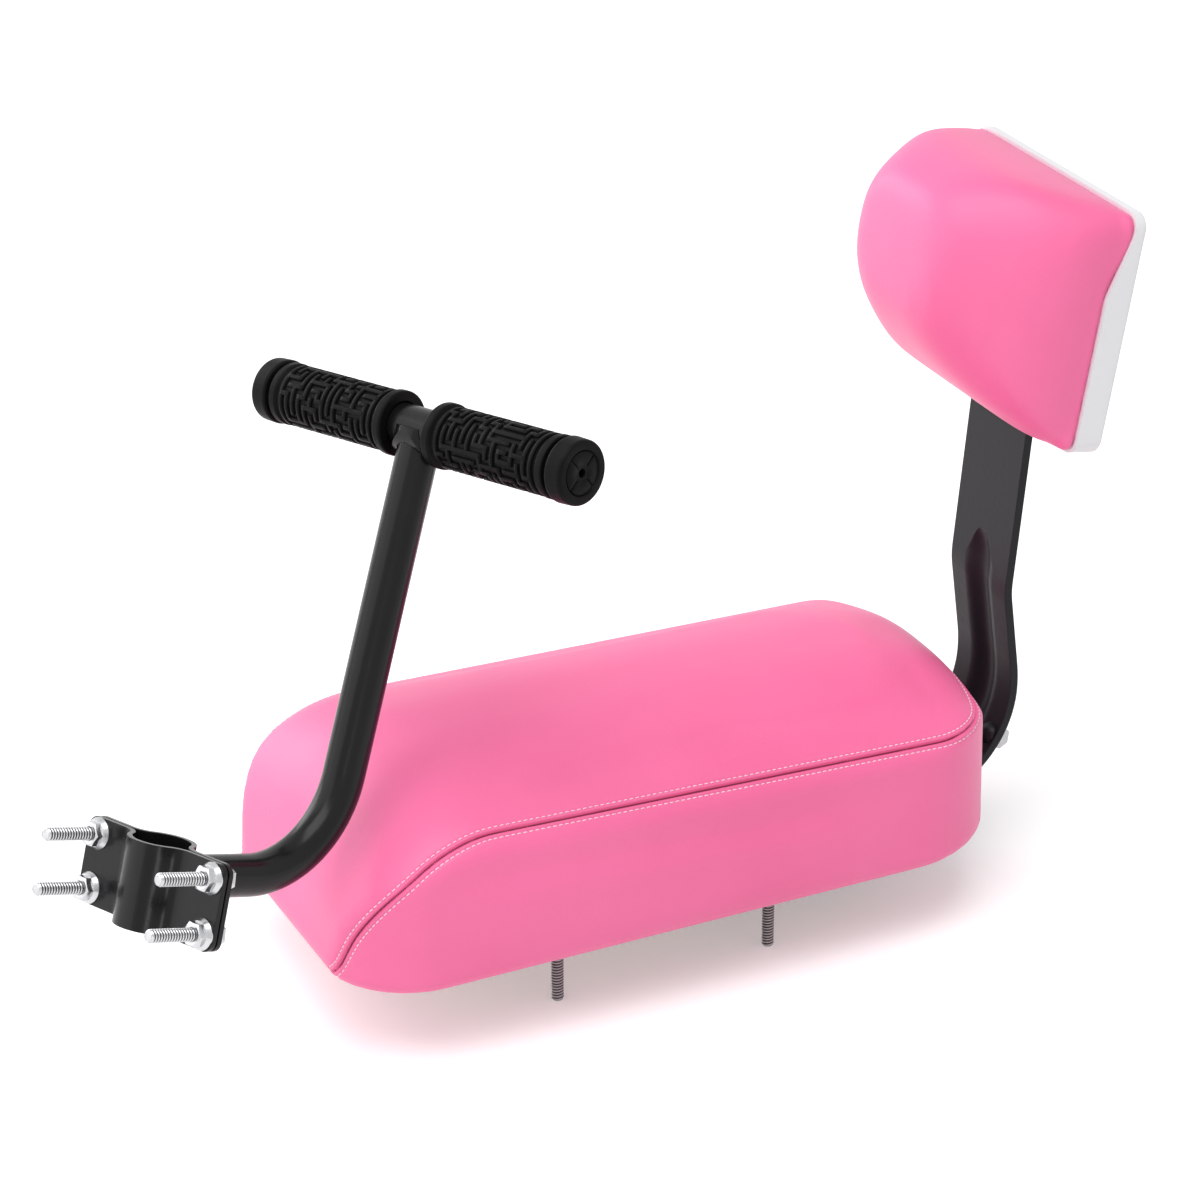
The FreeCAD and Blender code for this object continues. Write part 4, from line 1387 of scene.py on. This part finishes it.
@dataclass
class GrabHandle:
    """The clamp-on handle: grips with a maze tread, and bolts with their thread."""

    finishes: Finishes
    place: Point3 = (82.0 * MM, -256.0 * MM, 90.0 * MM)
    yaw: float = math.radians(20.7)
    roll: float = math.radians(-5.4)
    lean: float = math.radians(-21.3)
    bar_y: float = 110.6 * MM
    bar_z: float = 203.0 * MM
    bar_half: float = 94.0 * MM
    grip_length: float = 84.0 * MM
    end_wall: float = 2.6 * MM
    gap: float = 0.25 * MM
    flange_r: float = 14.8 * MM
    flange_w: float = 4.5 * MM
    body_r: float = 12.7 * MM
    collar_r: float = 14.2 * MM
    collar_w: float = 3.4 * MM
    groove_r: float = 11.8 * MM
    groove_w: float = 2.6 * MM
    knob_r: float = 14.8 * MM
    knob_w: float = 9.0 * MM
    edge: float = 1.2 * MM
    vent_r: float = 2.0 * MM
    disc_r: float = 10.4 * MM
    disc_dip: float = 0.9 * MM
    around: int = 72
    quarters: int = 4
    quarter_cuts: int = 8
    quarter_start: float = 0.35
    quarter_gap: float = 0.6 * MM
    quarter_inset: float = 0.9 * MM
    quarter_edge: float = 0.25 * MM
    sunk: float = 0.3 * MM
    outline_step: float = 0.45 * MM
    tread_h: float = 1.25 * MM
    tread_cell: float = 1.95 * MM
    tread_margin: float = 1.6 * MM
    tread_soft: float = 0.28 * MM
    bolt_dx: float = 36.5 * MM
    bolt_dz: float = 12.0 * MM
    plate_face: float = 2.7 * MM
    nut_h: float = 6.0 * MM
    tail: float = 24.0 * MM
    head_h: float = 4.0 * MM
    hex_r: float = 5.77 * MM
    sharp: float = math.radians(50.0)

    def matrix(self) -> Matrix:
        """Place of the handle's own frame in the row frame."""
        turn = Matrix.Rotation(self.yaw, 4, "Z") @ Matrix.Rotation(self.roll, 4, "Y")
        return Matrix.Translation(self.place) @ (turn @ Matrix.Rotation(self.lean, 4, "X"))

    def build(self) -> None:
        """Makes both grips and the clamp bolts."""
        for side, node, seed in ((Side.LEFT, "left_grip", 7), (Side.RIGHT, "right_grip", 8)):
            settle(self.grip(side, node, seed), Slot.RUBBER, node)
        settle(self.bolts(), Slot.ZINC, "clamp_bolts")

    def profile(self) -> list[Point2]:
        """Outline of a grip from its flange to its vent.

        Returns:
            Points (distance from the inner end, radius).
        """
        e = self.edge
        dish = self.grip_length - self.disc_dip
        knob_at = self.grip_length - self.knob_w
        groove_at = knob_at - self.groove_w
        collar_at = groove_at - self.collar_w
        corners = [
            (0.0, self.body_r - 2 * e, 0.0),
            (0.0, self.flange_r, e),
            (self.flange_w, self.flange_r, e),
            (self.flange_w + e, self.body_r, e * 0.4),
            (collar_at - e, self.body_r, e * 0.4),
            (collar_at, self.collar_r, e * 0.6),
            (groove_at, self.collar_r, e * 0.5),
            (groove_at + e * 0.3, self.groove_r, e * 0.3),
            (knob_at - e * 0.3, self.groove_r, e * 0.3),
            (knob_at, self.knob_r, e),
            (self.grip_length, self.knob_r - e * 0.3, e * 1.4),
            (self.grip_length + e * 0.15, self.disc_r, e * 0.25),
            (dish, self.disc_r - e * 0.5, e * 0.25),
            (dish, self.vent_r * 2.2, e * 0.2),
            (dish + e * 0.5, self.vent_r * 2.0, e * 0.2),
            (dish + e * 0.5, self.vent_r, e * 0.1),
            (dish - e * 0.6, self.vent_r, 0.0),
        ]
        return rounded_path(corners, self.outline_step) + [(self.grip_length - self.end_wall, self.vent_r)]

    def grip(self, side: Side, name: str, seed: int) -> bpy.types.Object:
        """Makes one grip.

        Args:
            side: the end of the crossbar that it sits on.
            name: the solid that it stands for.
            seed: start of its tread's random choices.

        Returns:
            The grip as one piece.
        """
        start = self.bar_half + self.end_wall + self.gap - self.grip_length
        place = self.matrix()

        def at(along: float, radius: float, turn: float) -> Vector:
            """A point on the grip in the row frame.

            Args:
                along: distance from the grip's inner end.
                radius: distance from its axis.
                turn: angle round it.

            Returns:
                The point.
            """
            x = side.value * (start + along)
            y, z = self.bar_y + radius * math.sin(turn), self.bar_z + radius * math.cos(turn)
            return place @ Vector((x, y, z))

        drawn = Draft()
        outline = self.profile()
        turns = [2 * math.pi * j / self.around for j in range(self.around)]
        skin = (at(along, radius, turn) for along, radius in outline for turn in turns)
        drawn.add(skin, ring_faces(len(outline), self.around))
        self.add_tread(drawn, at, seed)
        self.add_quarters(drawn, at)
        return drawn.piece(name + "_rubber", self.finishes.rubber)

    def add_quarters(self, drawn: Draft, at: GripSpot) -> None:
        """Adds raised quarters on the dished end of a grip, with fine gaps between them.

        Args:
            drawn: the grip so far.
            at: place of (distance, radius, turn) on the grip.
        """
        base, cuts = self.grip_length - self.disc_dip, self.quarter_cuts
        inner, outer = self.vent_r * 1.5, self.disc_r - self.quarter_inset
        levels = ((-self.sunk, 0.0), (self.disc_dip * 0.5, 0.0), (self.disc_dip * 0.75, self.quarter_edge))
        row = cuts + 1
        loop = list(range(row)) + list(range(2 * row - 1, row - 1, -1))
        faces = []
        for low, high in ((0, 2 * row), (2 * row, 4 * row)):
            faces.extend((low + m, low + n, high + n, high + m) for m, n in zip(loop, loop[1:] + loop[:1]))
        top = 4 * row
        faces.extend((top + i, top + i + 1, top + row + i + 1, top + row + i) for i in range(cuts))
        for k in range(self.quarters):
            points: list[Vector] = []
            for height, slip in levels:
                for radius in (inner + slip, outer - slip):
                    gap = (self.quarter_gap / 2 + slip) / radius
                    begin = 2 * math.pi * (k + self.quarter_start) / self.quarters + gap
                    sweep = 2 * math.pi / self.quarters - 2 * gap
                    points.extend(at(base + height, radius, begin + sweep * i / cuts) for i in range(row))
            drawn.add(points, faces)

    def add_tread(self, drawn: Draft, at: GripSpot, seed: int) -> None:
        """Adds raised walls of a maze round the grip's body.

        Args:
            drawn: the grip so far.
            at: place of (distance, radius, turn) on the grip.
            seed: start of the maze's random choices.
        """
        begin = self.flange_w + self.edge + self.tread_margin
        end = self.grip_length - self.knob_w - self.groove_w - self.collar_w - self.edge - self.tread_margin
        columns = int((end - begin) / self.tread_cell) // 2 * 2 + 1
        rows = int(2 * math.pi * self.body_r / self.tread_cell) // 4 * 4
        raised = self.maze(columns, rows, seed)
        cell = ((end - begin) / columns, 2 * math.pi / rows)
        for i in range(columns):
            for j in range(rows):
                if raised[i][j]:
                    open_sides = (
                        i == 0 or not raised[i - 1][j],
                        i == columns - 1 or not raised[i + 1][j],
                        not raised[i][(j - 1) % rows],
                        not raised[i][(j + 1) % rows],
                    )
                    self.add_block(drawn, at, (begin + i * cell[0], j * cell[1]), cell, open_sides)

    def add_block(
        self, drawn: Draft, at: GripSpot, corner: Point2, cell: Point2, open_sides: Sequence[bool]
    ) -> None:
        """Adds one cell of tread with chamfered open sides.

        Args:
            drawn: the grip so far.
            at: place of (distance, radius, turn) on the grip.
            corner: distance and turn of the cell's first corner.
            cell: length and turn that the cell takes up.
            open_sides: which sides face a gap: near, far, first and last.
        """
        soft = self.tread_soft
        low, high = self.body_r - self.sunk, self.body_r + self.tread_h
        bevel = soft / high
        (near, first), (far, last) = corner, (corner[0] + cell[0], corner[1] + cell[1])
        cuts = [float(is_open) for is_open in open_sides]
        rim = self.corners(near, far, first, last)
        cap = self.corners(
            near + soft * cuts[0], far - soft * cuts[1], first + bevel * cuts[2], last - bevel * cuts[3]
        )
        levels = ((low, rim), (high - soft, rim), (high, cap))
        faces = [(8, 9, 10, 11)]
        for k, is_open in zip((3, 1, 0, 2), open_sides):
            if is_open:
                n = (k + 1) % 4
                faces += [(k, n, 4 + n, 4 + k), (4 + k, 4 + n, 8 + n, 8 + k)]
        drawn.add((at(along, radius, turn) for radius, ends in levels for along, turn in ends), faces)

    @staticmethod
    def corners(near: float, far: float, first: float, last: float) -> list[Point2]:
        """Corners of a cell as (distance, turn), in order round it."""
        return [(near, first), (far, first), (far, last), (near, last)]

    @staticmethod
    def maze(columns: int, rows: int, seed: int) -> list[list[bool]]:
        """Walls of a maze whose rows close round the grip.

        Args:
            columns: cells along the grip, an odd number.
            rows: cells round the grip, an even number.
            seed: start of the random choices.

        Returns:
            True for each cell that is raised.
        """
        choose = random.Random(seed)
        walls = [[True] * rows for _ in range(columns)]
        stack = [(1, 1)]
        walls[1][1] = False
        while stack:
            i, j = stack[-1]
            steps = [(2, 0), (-2, 0), (0, 2), (0, -2)]
            choose.shuffle(steps)
            for di, dj in steps:
                a, b = i + di, (j + dj) % rows
                if 0 < a < columns - 1 and walls[a][b]:
                    walls[i + di // 2][(j + dj // 2) % rows] = False
                    walls[a][b] = False
                    stack.append((a, b))
                    break
            else:
                stack.pop()
        return walls

    def bolts(self) -> bpy.types.Object:
        """Makes the clamp bolts with threaded ends and hexagon heads.

        Returns:
            All four bolts as one piece.
        """
        drawn = Draft()
        thread = ThreadedShank()
        place = self.matrix()
        front = (place.to_3x3() @ Vector((0, -1, 0))).normalized()
        length = 2 * self.plate_face + self.nut_h + self.tail
        head = [
            (self.hex_r * 0.94, 0.0),
            (self.hex_r, 0.4 * MM),
            (self.hex_r, self.head_h - 0.5 * MM),
            (self.hex_r * 0.86, self.head_h),
        ]
        for x in (-self.bolt_dx, self.bolt_dx):
            for z in (-self.bolt_dz, self.bolt_dz):
                back = place @ Vector((x, self.plate_face, z))
                thread.add(drawn, back, front, length)
                drawn.prism(6, head, back, -front)
        bolts = drawn.piece("clamp_bolt_threads", self.finishes.zinc)
        bolts.data.set_sharp_from_angle(angle=self.sharp)
        thread.shade(bolts.data)
        return bolts


# Solids that stay


@dataclass
class BareSolids:
    """CAD solids whose shape is right: each gets its finish."""

    finishes: Finishes

    def dress(self) -> None:
        """Gives every remaining CAD node its material."""
        f = self.finishes
        coats = {
            f.plywood: ("seat_base_board", "backrest_board"),
            f.bar: ("backrest_bar", "bend_bolts"),
            f.shell: ("backrest_shell",),
            f.gloss: (
                "handle_stem", "handle_crossbar", "crossbar_weld", "stem_weld",
                "front_clamp_plate", "rear_clamp_plate",
            ),
            f.zinc: (
                "foot_screws", "foot_tee_nuts", "bend_nuts", "backrest_bolts", "backrest_washers",
                "backrest_tee_nuts", "clamp_nuts",
            ),
        }
        for material, nodes in coats.items():
            for node in nodes:
                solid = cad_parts[node].data
                solid.materials.clear()
                solid.materials.append(material)


# Stage


@dataclass(frozen=True)
class Lamp:
    """A soft square lamp: its name, place, side and power."""

    name: str
    place: Point3
    size: float
    watts: float

    def hang(self, target: Vector) -> None:
        """Adds the lamp to the scene, facing a target.

        Args:
            target: the point that it faces.
        """
        light = bpy.data.lights.new(self.name, "AREA")
        light.size = self.size
        light.energy = self.watts
        lamp = bpy.data.objects.new(self.name, light)
        lamp.location = self.place
        lamp.rotation_euler = (target - Vector(self.place)).to_track_quat("-Z", "Y").to_euler()
        bpy.context.scene.collection.objects.link(lamp)


@dataclass
class Studio:
    """Pale floor, soft lamps and the photograph's camera."""

    floor_z: float = -38.0 * MM
    floor_size: float = 14.0
    azimuth: float = math.radians(64.0)
    elevation: float = math.radians(26.4)
    focal_px: float = 4000.0
    image_px: float = 1200.0
    sensor: float = 36.0
    seat_middle: Point3 = (0.0, 4.0 * MM, 0.0)
    middle_px: Point2 = (619.5, 846.0)
    middle_depth: float = 1900.0 * MM
    clip_end: float = 50.0
    soft_light: float = 0.55
    paper: Colour = (0.9, 0.9, 0.9)
    bright: Colour = (0.97, 0.97, 0.97)
    glow: float = 0.24
    aim: Point3 = (0.0, 0.0, 0.08)
    lamps: tuple[Lamp, ...] = (
        Lamp("key", (0.7, -0.7, 2.8), 2.2, 52.0),
        Lamp("front", (-0.4, -2.5, 1.2), 2.8, 26.0),
        Lamp("far", (-2.1, -1.1, 0.9), 1.5, 22.0),
        Lamp("strip", (1.9, -1.1, 0.3), 0.36, 2.2),
    )

    def build(self) -> None:
        """Makes the floor, the lamps, the world and the camera."""
        self.floor()
        self.world()
        for lamp in self.lamps:
            lamp.hang(Vector(self.aim))
        self.camera()
        bpy.context.scene.view_settings.view_transform = "Standard"

    def floor(self) -> None:
        """A white sweep that keeps the object's shadow."""
        half = self.floor_size / 2
        corners = [(-half, -half), (half, -half), (half, half), (-half, half)]
        sheet = Draft()
        sheet.add((Vector((x, y, self.floor_z)) for x, y in corners), [(0, 1, 2, 3)])
        material = bpy.data.materials.new("white_floor")
        g = Graph(material)
        paper = g.node("ShaderNodeBsdfDiffuse", {}, {"Color": (*self.paper, 1.0)})
        bright = g.node("ShaderNodeBsdfDiffuse", {}, {"Color": (*self.bright, 1.0)})
        glow = g.node("ShaderNodeEmission", {}, {"Color": (1.0, 1.0, 1.0, 1.0), "Strength": self.glow})
        lit = g.node("ShaderNodeAddShader", {}, {0: bright, 1: glow})
        g.output(g.node("ShaderNodeMixShader", {}, {0: self.seen(g), 1: paper, 2: lit}))
        floor = sheet.piece("floor", material)

    @staticmethod
    def seen(g: Graph) -> Value:
        """Tells the rays that see the background from those that only light the object.

        Args:
            g: graph to write into.

        Returns:
            One for a ray from the camera, a reflection or clear matter, else nought.
        """
        total = g.node("ShaderNodeLightPath", {}, {}, "Is Camera Ray")
        for kind in ("Is Glossy Ray", "Is Transmission Ray"):
            total = total + g.node("ShaderNodeLightPath", {}, {}, kind)
        return g.stepped(total, 0.0, 1.0)

    def world(self) -> None:
        """White to the camera and in reflections, plain soft light elsewhere."""
        world = bpy.data.worlds.new("studio")
        bpy.context.scene.world = world
        g = Graph(world)
        strength = self.soft_light + self.seen(g) * (1.0 - self.soft_light)
        back = g.node("ShaderNodeBackground", {}, {"Color": (1.0, 1.0, 1.0, 1.0), "Strength": strength})
        g.output(back, "ShaderNodeOutputWorld")

    def camera(self) -> None:
        """Places the camera so that the seat's middle falls on its pixel of the photograph."""
        a, e = self.azimuth, self.elevation
        right = Vector((math.cos(a), math.sin(a), 0.0))
        back = Vector((math.sin(a) * math.cos(e), -math.cos(a) * math.cos(e), math.sin(e)))
        up = back.cross(right)
        centre = self.image_px / 2
        dx = (self.middle_px[0] - centre) / self.focal_px * self.middle_depth
        dy = (self.middle_px[1] - centre) / self.focal_px * self.middle_depth
        place = Vector(self.seat_middle) - right * dx + up * dy + back * self.middle_depth
        lens = bpy.data.cameras.new("photo_camera")
        lens.sensor_width = self.sensor
        lens.sensor_fit = "HORIZONTAL"
        lens.lens = self.focal_px / self.image_px * self.sensor
        lens.clip_end = self.clip_end
        camera = bpy.data.objects.new("photo_camera", lens)
        camera.matrix_world = Matrix.Translation(place) @ Matrix((right, up, back)).transposed().to_4x4()
        bpy.context.scene.collection.objects.link(camera)
        bpy.context.scene.camera = camera


def main() -> None:
    """Builds every sub-assembly, the finishes and the studio."""
    logging.basicConfig(level=logging.INFO, format="%(name)s %(message)s")
    finishes = Finishes.make()
    SeatCushion(finishes).build()
    Backrest(finishes).build()
    RackStuds(finishes).build()
    GrabHandle(finishes).build()
    BareSolids(finishes).dress()
    Studio().build()


if __name__ == "__main__":
    main()
